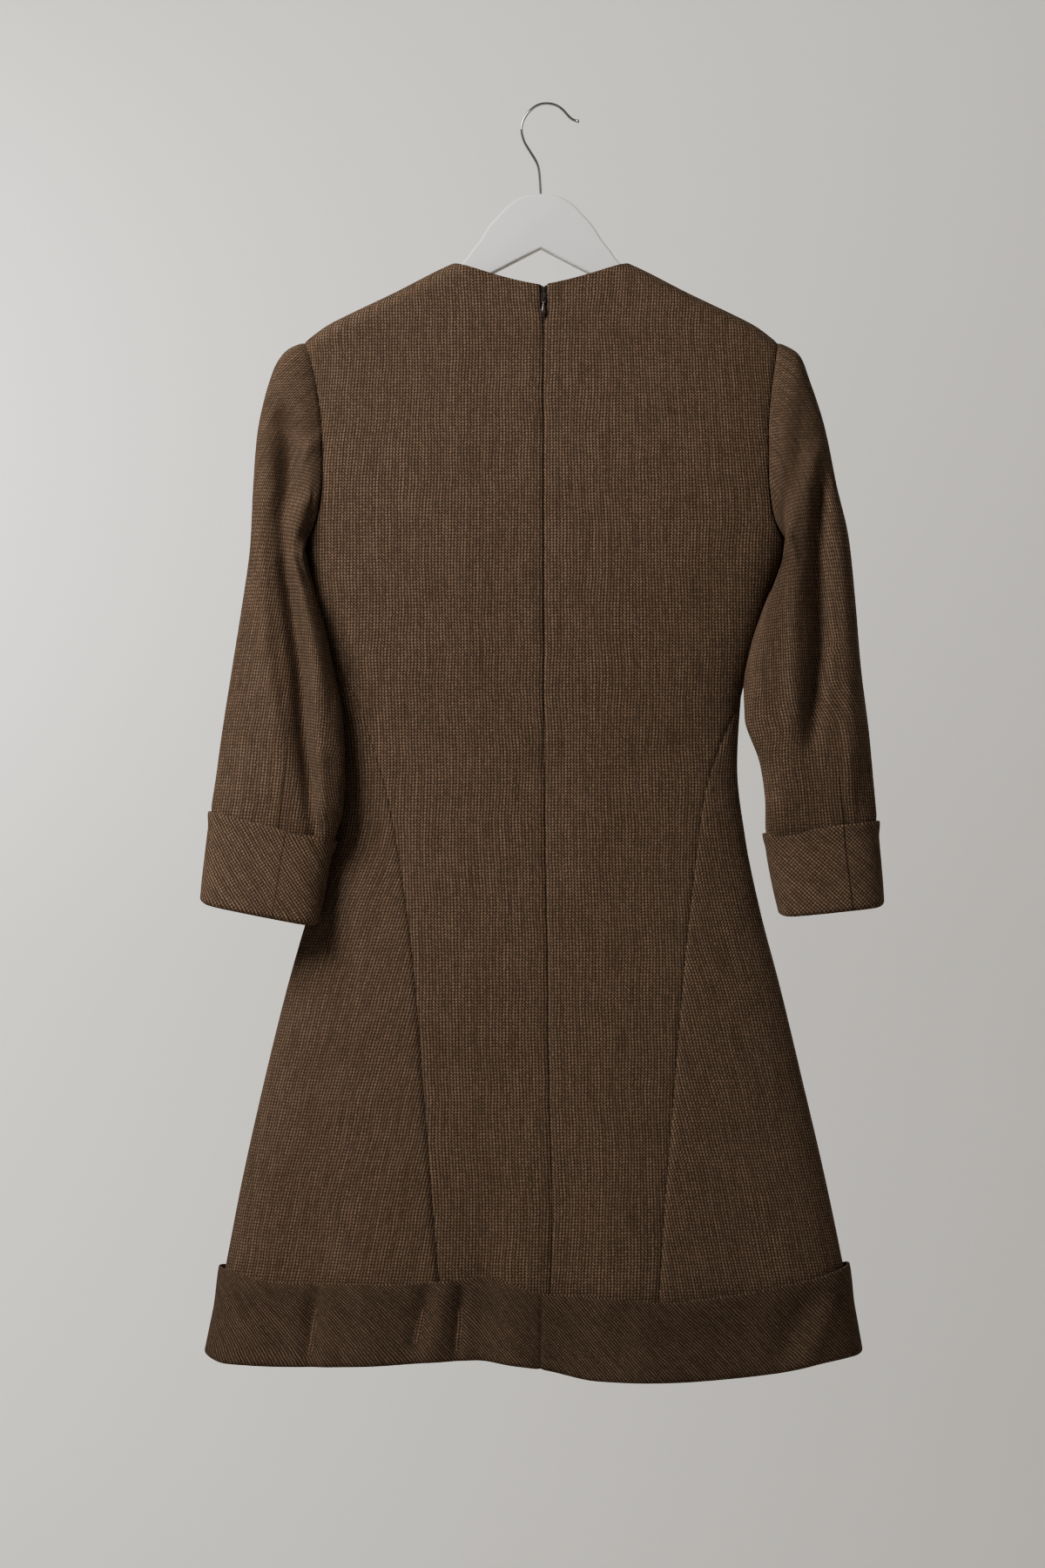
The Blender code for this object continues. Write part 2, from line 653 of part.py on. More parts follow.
def turned_back(points, normals, gaps, name, material, closed):
    """A band on the outside of a grid's points, whose last row turns in under their edge."""
    outer = points + normals * (gaps[:, None, None] + CLOTH)
    inner = points + normals * gaps[:, None, None]
    down = unit(points[-1] - points[-2])
    turn = points[-1] - normals[-1] * (CLOTH + SEAM_GAP)
    outer = np.concatenate([outer, turn[None]])
    inner[-1] -= down * CLOTH
    inner = np.concatenate([inner, (turn - down * CLOTH)[None]])
    return cloth(name, outer, inner, material, closed)


def cuff(hand, name, material):
    """A band that is turned back over the end of a sleeve."""
    turns = armhole_loop(hand)[2]
    along = np.array(CUFF_STATIONS)
    points = sleeve_sections(hand, turns, along, folded=False)
    normals = ring_normals(points)
    gaps = blend(CUFF_LIP_GAP, BAND_GAP, step_up((along - along[0]) / CUFF_LIP_REACH))
    return turned_back(points, normals, gaps, name, material, closed=True)


def hem_band(hand, name, material):
    """Half of the band that is turned back over the hem, from the centre back to the front."""
    back = blend(
        centre_back_angle(HEM_RING_DROP, hand),
        edge_angle(HEM_RING_DROP, BACK, hand),
        back_shares(hand),
    )
    back[0] = angle_at(HEM_BAND_SEAM_X, HEM_RING_DROP, BACK)
    start, end = side_edges(HEM_RING_DROP, hand)
    side = blend(start, end, np.linspace(0, 1, SIDE_COLUMNS + 1))[1:]
    shares = front_shares()
    left, right = (edge_angle(HEM_RING_DROP, FRONT, h) for h in (LEFT, RIGHT))
    front = blend(left, right, shares)
    half = len(shares) // 2
    front = front[1 : half + 1] - 2 * HALF_TURN if hand == LEFT else front[half:-1][::-1]
    angles = np.concatenate([back, side, front])
    down = np.linspace(0, 1, BAND_ROWS)[:, None]
    drops = blend(hem_drop(angles, "top"), hem_drop(angles, "bottom"), down)
    points, normals = body_point(np.broadcast_to(angles, drops.shape), drops)
    points = draw_back(points, True, True)
    gaps = blend(HEM_LIP_GAP, BAND_GAP, step_up(down[:, 0] / HEM_LIP_REACH))
    return turned_back(points, normals, gaps, name, material, closed=False)


def zip_tape(hand, name, material):
    """A strip behind a back panel; its edge shows in the opening at the top of the zip."""
    rows = panel_rows(BACK_NECK_DROP, np.array([skirt_end(-HALF_TURN / 2)]))[:, 0]
    within = rows[(rows > ZIP_TOP_DROP) & (rows < ZIP_TOP_DROP + ZIP_LENGTH)]
    drops = np.concatenate([[ZIP_TOP_DROP], within])[:, None]
    half = column(ZIP_OPENING, "half", drops)
    toothed = np.maximum(half - TAPE_SHOWS, SEAM_GAP / 2)
    across = column(CENTRE_BACK, "x", drops) + hand * blend(toothed, TAPE_WIDTH, np.linspace(0, 1, 3))
    drops = np.broadcast_to(drops, across.shape)
    points, normals = body_point(angle_at(across, drops, BACK), drops, out=-CLOTH - SEAM_GAP)
    return cloth(name, *wall(points, normals, TAPE_THICKNESS), material)


def on_back(drop):
    """The cloth's outer face at the centre back."""
    angle = angle_at(column(CENTRE_BACK, "x", drop), drop, BACK)
    return body_point(angle, drop)[0]


def box(name, size, middle):
    """A rectangular block, as a mesh object that still stands outside the collection."""
    mesh = bpy.data.meshes.new(name)
    shape = bmesh.new()
    bmesh.ops.create_cube(shape, size=1)
    bmesh.ops.scale(shape, vec=Vector(size) * MM, verts=shape.verts)
    bmesh.ops.translate(shape, vec=Vector(middle) * MM, verts=shape.verts)
    shape.to_mesh(mesh)
    shape.free()
    return bpy.data.objects.new(name, mesh)


def flat_shape(name, outlines, half_thickness, edge_round=0.0):
    """A flat plate from closed outlines in its own X and Y, as an object that holds a mesh."""
    curve = bpy.data.curves.new(name, "CURVE")
    curve.dimensions = "2D"
    curve.fill_mode = "BOTH"
    curve.extrude = (half_thickness - edge_round) * MM
    curve.bevel_depth = edge_round * MM
    curve.offset = -edge_round * MM
    curve.bevel_resolution = 2
    for outline in outlines:
        spline = curve.splines.new("POLY")
        spline.points.add(len(outline) - 1)
        for point, (x, y) in zip(spline.points, outline):
            point.co = (x * MM, y * MM, 0, 1)
        spline.use_cyclic_u = True
    source = bpy.data.objects.new(name + "_outline", curve)
    bpy.context.scene.collection.objects.link(source)
    mesh = bpy.data.meshes.new_from_object(source.evaluated_get(bpy.context.evaluated_depsgraph_get()))
    bpy.data.objects.remove(source)
    bpy.data.curves.remove(curve)
    mesh.name = name
    shape = bmesh.new()
    shape.from_mesh(mesh)
    bmesh.ops.remove_doubles(shape, verts=shape.verts, dist=1e-6)
    shape.to_mesh(mesh)
    shape.free()
    return mesh


def zip_slider(material):
    """The slider's block, with the bridge that the pull tab hangs on."""
    middle_drop = SLIDER["top_drop"] + SLIDER["height"] / 2
    face = on_back(TAB_AXIS_DROP)
    x, face_y = float(face[0]), float(face[1])
    block = box(
        "zip_slider",
        (SLIDER["width"], SLIDER["thickness"], SLIDER["height"]),
        (x, face_y + SLIDER["thickness"] / 2, -middle_drop),
    )
    reach, clear, bevel = BRIDGE["half_length"], BRIDGE["clear_length"], BRIDGE["bevel"]
    top = BRIDGE["rise"] + BRIDGE["wall"]
    root = -SLIDER["thickness"] / 2
    arch = (
        (-reach, root), (-reach, top - bevel), (-reach + bevel, top), (reach - bevel, top),
        (reach, top - bevel), (reach, root), (clear, root), (clear, BRIDGE["rise"]),
        (-clear, BRIDGE["rise"]), (-clear, root),
    )
    mesh = flat_shape("zip_bridge", [arch], BRIDGE["width"] / 2)
    # The outline's X runs up the dress, its Y outwards (-Y), and its thickness along X.
    turn = Matrix(((0, 0, 1), (0, -1, 0), (1, 0, 0))).to_4x4()
    mesh.transform(Matrix.Translation(Vector((x, face_y, -TAB_AXIS_DROP)) * MM) @ turn)
    bridge = bpy.data.objects.new("zip_bridge", mesh)
    CUTTERS.objects.link(bridge)
    bridge.hide_render = True
    bridge.display_type = "WIRE"
    DRESS.objects.link(block)
    block.data.materials.append(material)
    union = block.modifiers.new("bridge", "BOOLEAN")
    union.operation = "UNION"
    union.object = bridge
    return block


def zip_pull_tab(material):
    """A teardrop plate with a window at its top, whose upper bar lies under the bridge."""
    bar, window, bevel = TAB["bar"], TAB["window"], TAB["bevel"]
    neck, widest, length = TAB["neck_half"], TAB["widest_half"], TAB["length"]
    top = bar / 2
    round_middle = -(length - top - widest)
    right = [(neck - bevel, top), (neck, top - bevel), (neck - TAB_NECK_TAPER, -bar / 2 - window)]
    for turn in np.radians(np.linspace(15, -90, 9)):
        right.append((widest * math.cos(turn), round_middle + widest * math.sin(turn)))
    outline = right + [(-x, y) for x, y in right[-2::-1]]
    half = TAB_WINDOW_HALF
    hole = [(-half, -bar / 2), (half, -bar / 2), (half, -bar / 2 - window), (-half, -bar / 2 - window)]
    mesh = flat_shape("zip_pull_tab", [outline, hole], bar / 2)
    mesh.transform(Matrix.Rotation(math.radians(90), 4, "X"))
    tab = finish("zip_pull_tab", mesh, material)
    start, end = on_back(TAB_AXIS_DROP), on_back(TAB_AXIS_DROP + length)
    tab.location = Vector((start[0], start[1] - TAB_AXIS_RISE, start[2])) * MM
    tab.rotation_euler.x = -math.atan2(start[1] - end[1], start[2] - end[2])
    return tab


def hanger_outline():
    """The hanger's outline from its middle: the arch's top, the arm, its end and the underside."""
    arch = [(out, -drop) for out, drop in zip(HANGER_TOP["out"], HANGER_TOP["drop"])]
    arm_out = np.linspace(HANGER_ARM_START, HANGER_ARM_END, 12)
    arm_top = column(SHOULDER, "drop", arm_out, key="out") + HANGER_BELOW_SHOULDER
    arm = list(zip(arm_out, -arm_top))
    end_top = -arm_top[-1]
    radius = HANGER_END_HEIGHT / 2
    slope = math.atan(HANGER_UNDERSIDE_SLOPE)
    end_middle = Vector((arm_out[-1], end_top)) + Vector((-math.sin(slope), -math.cos(slope))) * radius
    end = [
        (end_middle.x + radius * math.cos(turn - slope), end_middle.y + radius * math.sin(turn - slope))
        for turn in np.radians(np.linspace(75, -90, 10))
    ]
    right = arch + arm + end
    underside = [(0, -HANGER_NOTCH_DROP)]
    left = [(-x, y) for x, y in right[::-1][:-1]]
    return [(x + SHOULDER_CENTRE, y) for x, y in right + underside + left]


def hanger(material):
    """A flat board with rounded edges, whose arms lie under the shoulders of the dress."""
    mesh = flat_shape("hanger", [hanger_outline()], HANGER_THICKNESS / 2, HANGER_EDGE_ROUND)
    mesh.transform(Matrix.Rotation(math.radians(90), 4, "X"))
    return finish("hanger", mesh, material, smooth_angle=30)


def hook_points():
    """The hook's middle line: a smooth curve through its route."""
    route = np.array(HOOK_ROUTE)
    along = np.concatenate([[0], np.cumsum(np.linalg.norm(np.diff(route, axis=0), axis=1))])
    at = np.linspace(0, along[-1], HOOK_STEPS_PER_POINT * (len(route) - 1) + 1)
    return np.stack([smooth(at, along, route[:, 0]), 0 * at, smooth(at, along, route[:, 1])], axis=1)


def hanger_hook(material):
    """A bent wire with a small knob at its tip."""
    curve = bpy.data.curves.new("hanger_hook", "CURVE")
    curve.dimensions = "3D"
    curve.bevel_depth = WIRE_DIAMETER / 2 * MM
    curve.bevel_resolution = 3
    curve.use_fill_caps = True
    points = hook_points()
    spline = curve.splines.new("POLY")
    spline.points.add(len(points) - 1)
    swell = np.ones(len(points))
    swell[-3:] = (1.0, HOOK_TIP_SWELL, 0.8)
    for point, place, size in zip(spline.points, points, swell):
        point.co = (*(place * MM), 1)
        point.radius = size
    curve.materials.append(material)
    hook = bpy.data.objects.new("hanger_hook", curve)
    DRESS.objects.link(hook)
    return hook


def clear_scene():
    for thing in list(bpy.data.objects):
        bpy.data.objects.remove(thing)


def new_collection(name):
    collection = bpy.data.collections.new(name)
    bpy.context.scene.collection.children.link(collection)
    return collection


def hand_edge(side, hand):
    return lambda drop: edge_angle(drop, side, hand)


def back_panel(hand, name, material):
    points, normals = main_panel(
        back_shares(hand),
        BACK,
        lambda drop: centre_back_angle(drop, hand),
        hand_edge(BACK, hand),
    )
    cloth(name, *wall(draw_back(points, False, True), normals), material)


def main():
    wool = finish_material("brown_wool", (0.075, 0.048, 0.031), 0.95)
    wool_bias = finish_material("brown_wool_bias", (0.062, 0.040, 0.026), 0.95)
    tape = finish_material("zip_tape", (0.030, 0.022, 0.020), 0.9)
    metal = finish_material("zip_metal", (0.090, 0.055, 0.045), 0.3)
    white = finish_material("white_lacquer", (0.62, 0.61, 0.59), 0.45)
    chrome = finish_material("chrome", (0.55, 0.55, 0.56), 0.12, 1.0)

    for hand, word in ((LEFT, "left"), (RIGHT, "right")):
        back_panel(hand, f"back_{word}", wool)
        points, normals = side_panel(hand)
        cloth(f"side_{word}", *wall(draw_back(points, True, True), normals), wool)
        sleeve(hand, f"sleeve_{word}", wool)
        cuff(hand, f"cuff_{word}", wool_bias)
        hem_band(hand, f"hem_band_{word}", wool_bias)
        zip_tape(hand, f"zip_tape_{word}", tape)
    points, normals = main_panel(front_shares(), FRONT, hand_edge(FRONT, LEFT), hand_edge(FRONT, RIGHT))
    cloth("front", *wall(draw_back(points, True, True), normals), wool)
    zip_slider(metal)
    zip_pull_tab(metal)
    hanger(white)
    hanger_hook(chrome)


clear_scene()
DRESS = new_collection("a_line_dress")
CUTTERS = new_collection("cutters")
main()
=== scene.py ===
"""A brown wool a-line dress on a white hanger, seen from behind, on a plain pale ground.

Everything is in the part's own frame: the origin is the inner top of the hanger's hook, +Z is up and
the back of the dress, with its zip, faces -Y. The tables are in millimetres, and a drop is a distance
below the origin. The body of the dress is a stack of flattened rings, and a place on it is an angle
round its ring and a drop. Each piece of cloth is a grid of such places, moved in or out by its folds,
with a wall of wool laid round it.
"""

import json
import math

import bmesh
import bpy
import numpy as np
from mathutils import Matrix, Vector


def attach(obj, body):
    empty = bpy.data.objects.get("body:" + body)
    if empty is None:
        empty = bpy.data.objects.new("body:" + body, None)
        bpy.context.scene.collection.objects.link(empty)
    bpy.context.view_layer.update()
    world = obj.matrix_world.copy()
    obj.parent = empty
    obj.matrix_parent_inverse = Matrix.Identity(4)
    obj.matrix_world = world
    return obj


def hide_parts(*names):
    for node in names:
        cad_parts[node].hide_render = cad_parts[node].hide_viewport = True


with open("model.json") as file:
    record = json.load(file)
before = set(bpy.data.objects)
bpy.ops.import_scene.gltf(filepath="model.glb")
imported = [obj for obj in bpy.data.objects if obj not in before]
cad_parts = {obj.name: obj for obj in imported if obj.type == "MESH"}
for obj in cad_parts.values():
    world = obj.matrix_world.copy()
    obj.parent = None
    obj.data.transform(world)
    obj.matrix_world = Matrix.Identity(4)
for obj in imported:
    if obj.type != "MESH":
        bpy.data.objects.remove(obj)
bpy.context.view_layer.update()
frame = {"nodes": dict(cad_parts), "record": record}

MM = 0.001
CLOTH = 2.0  # thickness of the wool
SEAM_GAP = 0.3
HALF_TURN = math.pi
FRONT, BACK = 1, -1
LEFT, RIGHT = -1, 1


def table(columns, *rows):
    """Named columns of a short table, with a row for each section."""
    return {name: np.array(values, float) for name, values in zip(columns.split(), zip(*rows))}


def rows_of(columns):
    """A table's rows in turn, each with its values by name."""
    return [dict(zip(columns, values)) for values in zip(*columns.values())]


# The body's rings. Above the armpit a ring is wider than the cloth, which ends at the armhole.
BODY = table(
    "drop   left    right  half_depth squareness",
    (110, -207, 197, 21, 3.6),
    (195, -207, 197, 22, 3.6),
    (260, -206, 197.5, 25, 3.5),
    (320, -203, 198.5, 28, 3.3),
    (360, -197, 195.5, 30, 3.2),
    (398, -192, 183.2, 31, 3.1),
    (445, -181, 170.6, 31, 3),
    (490, -171.5, 158.5, 30, 2.9),
    (542, -167, 155.8, 30, 2.8),
    (600, -174.3, 162.4, 33, 2.6),
    (660, -194.6, 174.7, 38, 2.45),
    (720, -212, 190.4, 43, 2.35),
    (800, -231.8, 209.6, 47, 2.3),
    (880, -249.6, 228.2, 51, 2.3),
    (960, -265, 244.6, 54, 2.3),
    (1045, -282.5, 260, 57, 2.3),
)
CENTRE_BACK = table(
    "drop    x",
    (110, -2.9), (270, -2.9), (613, -1.7), (666, -0.4),
    (772, 0.9), (904, 3.6), (970, 2.5), (1045, 0),
)
# Half of the opening at the top of the zip, which closes below the pull tab.
ZIP_OPENING = table(
    "drop   half",
    (140, 3.9), (147, 3.6), (150, 2.95), (157, 2.5), (166, 2.2),
    (174, 1.2), (184, 0.5), (195, 0.15), (1045, 0.15),
)
ARMHOLE = table(
    "drop  back_left back_right front_left front_right",
    (195, -198.9, 188.9, -198.9, 188.9),
    (211, -192.8, 186.5, -191, 184.5),
    (235, -187.5, 183, -184.5, 180),
    (270, -183.2, 180.3, -179, 176),
    (305, -182.5, 180.3, -177, 175),
    (335, -186, 183.5, -180, 179),
    (349, -190.5, 188.5, -185, 184.5),
    (360, -196, 195.5, -192, 191.5),
)
# The side panels' seams. A value outside the ring puts the seam on the ring's fold.
SIDE_SEAMS = table(
    "drop  back_left back_right front_left front_right",
    (360, -230, 235, -192, 191.5),
    (420, -195, 195, -165, 163),
    (463, -171.5, 168, -154, 149),
    (486, -156, 158.5, -147, 139),
    (518, -144, 144, -138, 131),
    (565, -130, 128.5, -128.5, 124),
    (617, -120, 121, -120, 118),
    (699, -108.5, 111.5, -109, 110),
    (809, -99, 101.8, -99, 101),
    (913, -90.5, 93, -90.5, 93),
    (1045, -79, 85, -79, 85),
)
SHOULDER_CENTRE = -5.0
SHOULDER = table(
    "out   drop",
    (0, 113), (36, 117), (72, 130.3), (122, 155.2),
    (157, 171.8), (175, 181), (194, 195),
)
SHOULDER_ROUND = 14.0  # the cloth turns over the shoulder line within this drop
SHOULDER_EDGE = 0.001  # a top edge lies this much below the shoulder line
SHOULDER_SEAM_DROP = 0.005  # and its first row this much further
SHOULDER_TIP_DROP = 195.0
ARMPIT_DROP = 360.0
NECK_HALF_WIDTH = 72.0
NECK_POINT_DROP = 130.3
EDGE_DROP = 0.4  # of the first row at the neck and the armpit
NECKS = {FRONT: (188.0, 1.9), BACK: (150.0, 1.3)}  # the lowest drop, and the curve's power

# The hem band, by place across the back; the front of it is level.
HEM = table(
    "x     top    bottom",
    (-282, 951, 1020.5),
    (-262, 953.5, 1025.5),
    (-230, 959, 1025.5),
    (-150, 958.5, 1023),
    (-75, 954.5, 1018.5),
    (-55, 951.5, 1018),
    (-30, 957, 1021),
    (-6, 964.5, 1024),
    (40, 967, 1033.5),
    (100, 972.5, 1035.5),
    (150, 968.5, 1033.5),
    (190, 963, 1030),
    (228, 957, 1023.5),
    (263, 947.5, 1019.5),
)
HEM_RING_DROP = 1030.0
FRONT_HEM_TOP = 958.0
FRONT_HEM_BOTTOM = 1026.0
BAND_SECTION = {
    "length": 68.0, "out": 2.2, "under": -3.3, "lip": 2.3, "lip_fade": 34.0, "inside": 26.0,
}
BAND_TURN = 10.0  # below this height the band's rows keep their own spacing
CUFF_SECTION = {
    "length": 65.0, "out": -0.6, "under": -6.0, "lip": 1.7, "lip_fade": 12.0, "inside": 18.0,
}
CORNER_LIFT = 1.2  # how far a cuff's corners rise, over CORNER_HEIGHT
CORNER_HEIGHT = 16.0
OUTER_ROWS = 20  # rows of a turned-back band that lie on its outside
HEM_BAND_SEAM_X = -5.5

# Soft flutes of the skirt, from where they start down to the hem. Height is outwards.
FLUTES = table(
    "side  x_top drop_top x_hem width height",
    (BACK, -48, 860, -58, 17, -6),
    (BACK, -20, 780, -22, 26, 5),
    (BACK, 45, 700, 68, 40, 7),
    (BACK, 150, 760, 172, 30, -4),
    (BACK, -120, 760, -150, 34, 4),
    (BACK, -175, 800, -205, 22, -3.5),
    (FRONT, -90, 640, -120, 40, 8),
    (FRONT, -20, 700, -25, 34, -6),
    (FRONT, 70, 650, 90, 44, 8),
    (FRONT, 150, 760, 180, 26, -4),
)
# Creases of the body: each runs along a line, is bell-shaped across it, and fades out at its ends.
BODY_CREASES = table(
    "side  x_from drop_from x_to drop_to width height",
    (BACK, -185, 300, -120, 420, 12, -1.2),
    (BACK, 182, 300, 120, 430, 12, -1.2),
    (BACK, -160, 500, -60, 540, 14, -1),
    (BACK, 150, 510, 60, 545, 14, -1),
    (BACK, -60, 470, -20, 700, 20, 1),
    (BACK, 40, 480, 25, 720, 18, 1),
    (FRONT, -185, 300, -110, 430, 13, -1.4),
    (FRONT, 182, 300, 110, 430, 13, -1.4),
    (FRONT, -150, 510, -50, 545, 14, -1.2),
    (FRONT, 145, 510, 50, 540, 14, -1.2),
)
BAND_CREASES = table(
    "side  x_from drop_from x_to drop_to width height",
    (BACK, -184, 946, -193, 1040, 5.5, -4.6),
    (BACK, -172, 950, -178, 1036, 6, 1.3),
    (BACK, -198, 950, -204, 1036, 7, 1.4),
    (BACK, -92, 944, -111, 1026, 6.5, -4.2),
    (BACK, -80, 946, -92, 1030, 5, 2),
    (BACK, -66, 940, -76, 1036, 6, -3.8),
    (BACK, -150, 955, -140, 1036, 14, 1.4),
    (BACK, 220, 955, 180, 1036, 12, -3),
    (BACK, 238, 955, 205, 1036, 8, 1.6),
    (BACK, 61, 965, 63, 1030, 12, -1.8),
    (BACK, 110, 965, 120, 1036, 16, 1.2),
    (FRONT, -150, 950, -140, 1036, 7, -3),
    (FRONT, -120, 950, -112, 1036, 8, 1.6),
    (FRONT, 40, 950, 30, 1036, 7, -3),
    (FRONT, 170, 950, 180, 1036, 7, -2.8),
    (FRONT, 150, 950, 158, 1036, 8, 1.6),
)

# Sections of a sleeve, from the armhole (0) to the cuff's free edge (1) and the sleeve's end.
# outer and inner are the two folds of the flattened tube; lean is the section's middle in Y.
SLEEVE_COLUMNS = (
    "along outer_x outer_drop inner_x inner_drop half_depth lean trough_at trough_depth"
)
SLEEVE_END = 1.16
SLEEVES = {
    LEFT: table(
        SLEEVE_COLUMNS,
        (0, -198.9, 195, -196, 360, 14, 0, 0.2, 0),
        (0.04, -211.1, 202.5, -200, 363.6, 18, 0, 0.2, 0),
        (0.09, -223.2, 218.2, -196.5, 370.8, 20, 0, 0.2, 0),
        (0.16, -231, 239.6, -193, 383.6, 21.5, 0, 0.2, 0),
        (0.26, -237.4, 273.1, -188.5, 400.7, 23, -1, 0.23, 0.5),
        (0.38, -240.3, 313.7, -183.5, 418.5, 24, -2, 0.32, 1),
        (0.5, -242.4, 360.1, -177.5, 442.1, 25, -4, 0.39, 2),
        (0.62, -248.8, 408.5, -171.5, 470.6, 25, -6, 0.48, 2.5),
        (0.74, -256.7, 459.9, -165.3, 504.8, 25, -9, 0.55, 3),
        (0.86, -265.2, 516.9, -163.8, 544.7, 25, -13, 0.64, 3),
        (0.94, -269.6, 552, -165.2, 577, 25, -17, 0.7, 2.5),
        (1, -273.4, 579, -172.6, 603.2, 25, -21, 0.72, 0.5),
        (SLEEVE_END, -281, 651, -184.5, 670, 25, -34, 0.78, 0),
    ),
    RIGHT: table(
        SLEEVE_COLUMNS,
        (0, 188.9, 195, 195.5, 360, 14, 0, 0.3, 0),
        (0.04, 203.2, 204.6, 199, 363.6, 18, 0, 0.3, 0),
        (0.09, 211.8, 219.6, 197.5, 372.2, 20, 0, 0.3, 0),
        (0.16, 220.3, 241, 191.8, 385, 21.5, 0, 0.33, 2),
        (0.26, 228.9, 270.9, 180.5, 402.1, 23, -1, 0.3, 1),
        (0.38, 236.7, 310.9, 173.2, 420.7, 24, -2, 0.34, 1.5),
        (0.5, 246.7, 356.5, 165.2, 445.6, 25, -3, 0.38, 2),
        (0.62, 251.7, 406.4, 159.6, 477.7, 25, -5, 0.4, 2),
        (0.74, 256, 459.9, 160.4, 503.4, 25, -7, 0.43, 2),
        (0.86, 263.1, 519.1, 173, 541.9, 25, -9, 0.52, 1),
        (0.94, 266.5, 558, 176.8, 572, 25, -10.5, 0.59, 1),
        (1, 269, 586.8, 177.5, 596.8, 25, -12, 0.6, 0),
        (SLEEVE_END, 274.5, 654.5, 188.5, 663.5, 25, -16, 0.6, 0),
    ),
}
# Folds on the back of each sleeve: the reach on the left and the right of the way along a line,
# the outward height, and the line as places across and down.
SLEEVE_FOLDS = {
    LEFT: (
        # the long trough down the back
        (6.5, 6.0, -14.0, (
            (-221, 225), (-219, 270), (-217, 303), (-214, 342), (-211, 385), (-205, 428), (-200, 465),
            (-197, 513), (-192, 550), (-188, 590), (-186, 640),
        )),
        # the ridge before it
        (9.0, 6.0, 3.0, ((-234, 300), (-232, 371), (-227, 442), (-219, 499), (-210, 570))),
        # the ridge after it
        (7.0, 8.0, 2.5, (
            (-204, 300), (-203, 342), (-197, 400), (-189, 450), (-183, 520), (-179, 580),
        )),
        # the crevice under the fold at the armpit
        (3.6, 4.0, -6.5, (
            (-199, 342), (-202, 352), (-203, 363), (-200, 376), (-194, 390), (-187, 406),
        )),
        # the fold above it
        (5.5, 6.5, 4.5, (
            (-187, 306), (-198, 318), (-208, 331), (-213, 348), (-212, 366), (-205, 386), (-196, 410),
            (-187, 440), (-181, 478), (-178, 520),
        )),
        # a drag from the armhole
        (6.0, 5.0, -2.6, ((-183, 282), (-198, 275), (-216, 267), (-234, 255))),
        # a second drag
        (3.5, 3.5, 1.6, ((-184, 303), (-197, 318), (-207, 328))),
        # the bulge above the cuff
        (9.0, 6.0, 3.0, ((-183, 520), (-181, 556), (-183, 595))),
    ),
    RIGHT: (
        # the long trough down the back
        (5.0, 7.5, -12.0, (
            (229, 275), (222, 321), (219, 356), (219, 399), (220, 438), (217, 467), (214, 496),
            (212, 540),
        )),
        # the ridge beside it
        (7.0, 12.0, 3.5, (
            (238, 314), (240, 371), (243, 414), (245, 463), (246, 513), (245, 556), (245, 588),
        )),
        # the inner ridge
        (9.0, 8.0, 4.0, ((202, 360), (200, 406), (200, 449), (199, 492), (197, 542))),
        # a short cross crease
        (2.2, 2.2, -1.6, ((228, 456), (221, 454), (212, 455))),
        # a fold at the armpit
        (3.0, 3.0, 2.2, ((185, 314), (190, 337), (198, 358), (202, 385))),
        # a crevice at the armpit
        (2.6, 2.6, -2.4, ((183, 335), (189, 351), (195, 371))),
        # a drag from the shoulder
        (8.0, 8.0, -2.2, ((247, 285), (233, 275), (212, 271))),
        # the hollow above the cuff
        (7.0, 7.0, -2.2, ((258, 520), (257, 556), (258, 588))),
    ),
}
SLEEVE_SQUARENESS = 2.7
SLEEVE_COUNT = 60  # steps down each half of an armhole
SLEEVE_HEAD = 0.35
UNDERARM_HEAD = 0.08
TROUGH_WIDTH = 0.13
FRONT_TROUGH_SHIFT = 0.06
FRONT_TROUGH_SHARE = 0.8
FRONT_FOLD_SHARE = 0.6
UNDERARM_ARC = math.radians(14)
SLEEVE_BEHIND = 17.0  # a sleeve's inner fold lies this much behind the body's side fold
HEAD_PUFF, PUFF_AT, PUFF_WIDTH = 2.2, 0.05, 0.045
CUFF_ROOM = 2.4  # how far a sleeve's end draws in under its cuff
GRAIN = table("drop lean", (150, 30), (290, 28), (420, 7), (700, 6))  # of a sleeve's weave
MAP_REACH = 75.0
SLEEVE_SEAMS = {LEFT: (-209.0, 528.0), RIGHT: (236.5, 551.0)}
CUFF_SEAM_TURNS = {LEFT: 1.81, RIGHT: 1.23}

HANGER_TOP = table(
    "out   drop",
    (0, 73.8), (10, 74.4), (17, 76.6), (26, 82), (34.5, 90.6),
    (43.5, 100.8), (50, 111.2), (57, 120.1), (61.5, 126.6), (66, 131.6),
)
HANGER_THICKNESS = 12.0
HANGER_EDGE_ROUND = 2.5
HANGER_BELOW_SHOULDER = 3.4
HANGER_ARM_END = 172.0
HANGER_NOTCH_DROP = 118.4
HANGER_UNDERSIDE_SLOPE = 0.532
HANGER_END_HEIGHT = 22.0
WIRE_DIAMETER = 2.4
KNOB = {"from_tip": 1.6, "half_length": 1.75, "girth": 1.35}
HOOK_ROUTE = (
    (-5, -73.4), (-5.6, -62), (-6.9, -50.6), (-12.9, -39.9), (-19.6, -27.6),
    (-21, -19.3), (-18.4, -10.7), (-12.6, -3.6), (-5.6, 0.5), (0.4, 1.2),
    (7.6, -0.4), (13.7, -4.6), (18.2, -10.2), (22.6, -13.6), (26.7, -13.8),
)
WOOL_DARK, WOOL_LIGHT, SEAM_SHADE = (0.038, 0.0204, 0.0112), (0.190, 0.128, 0.085), (0.012, 0.007, 0.004)
CELL_WIDTH, CELL_HEIGHT = 2.575, 2.46  # the weave's columns and rows
DASH, DOT = (1.65, 0.68), (0.95, 1.12)  # half sizes of the two kinds of slub
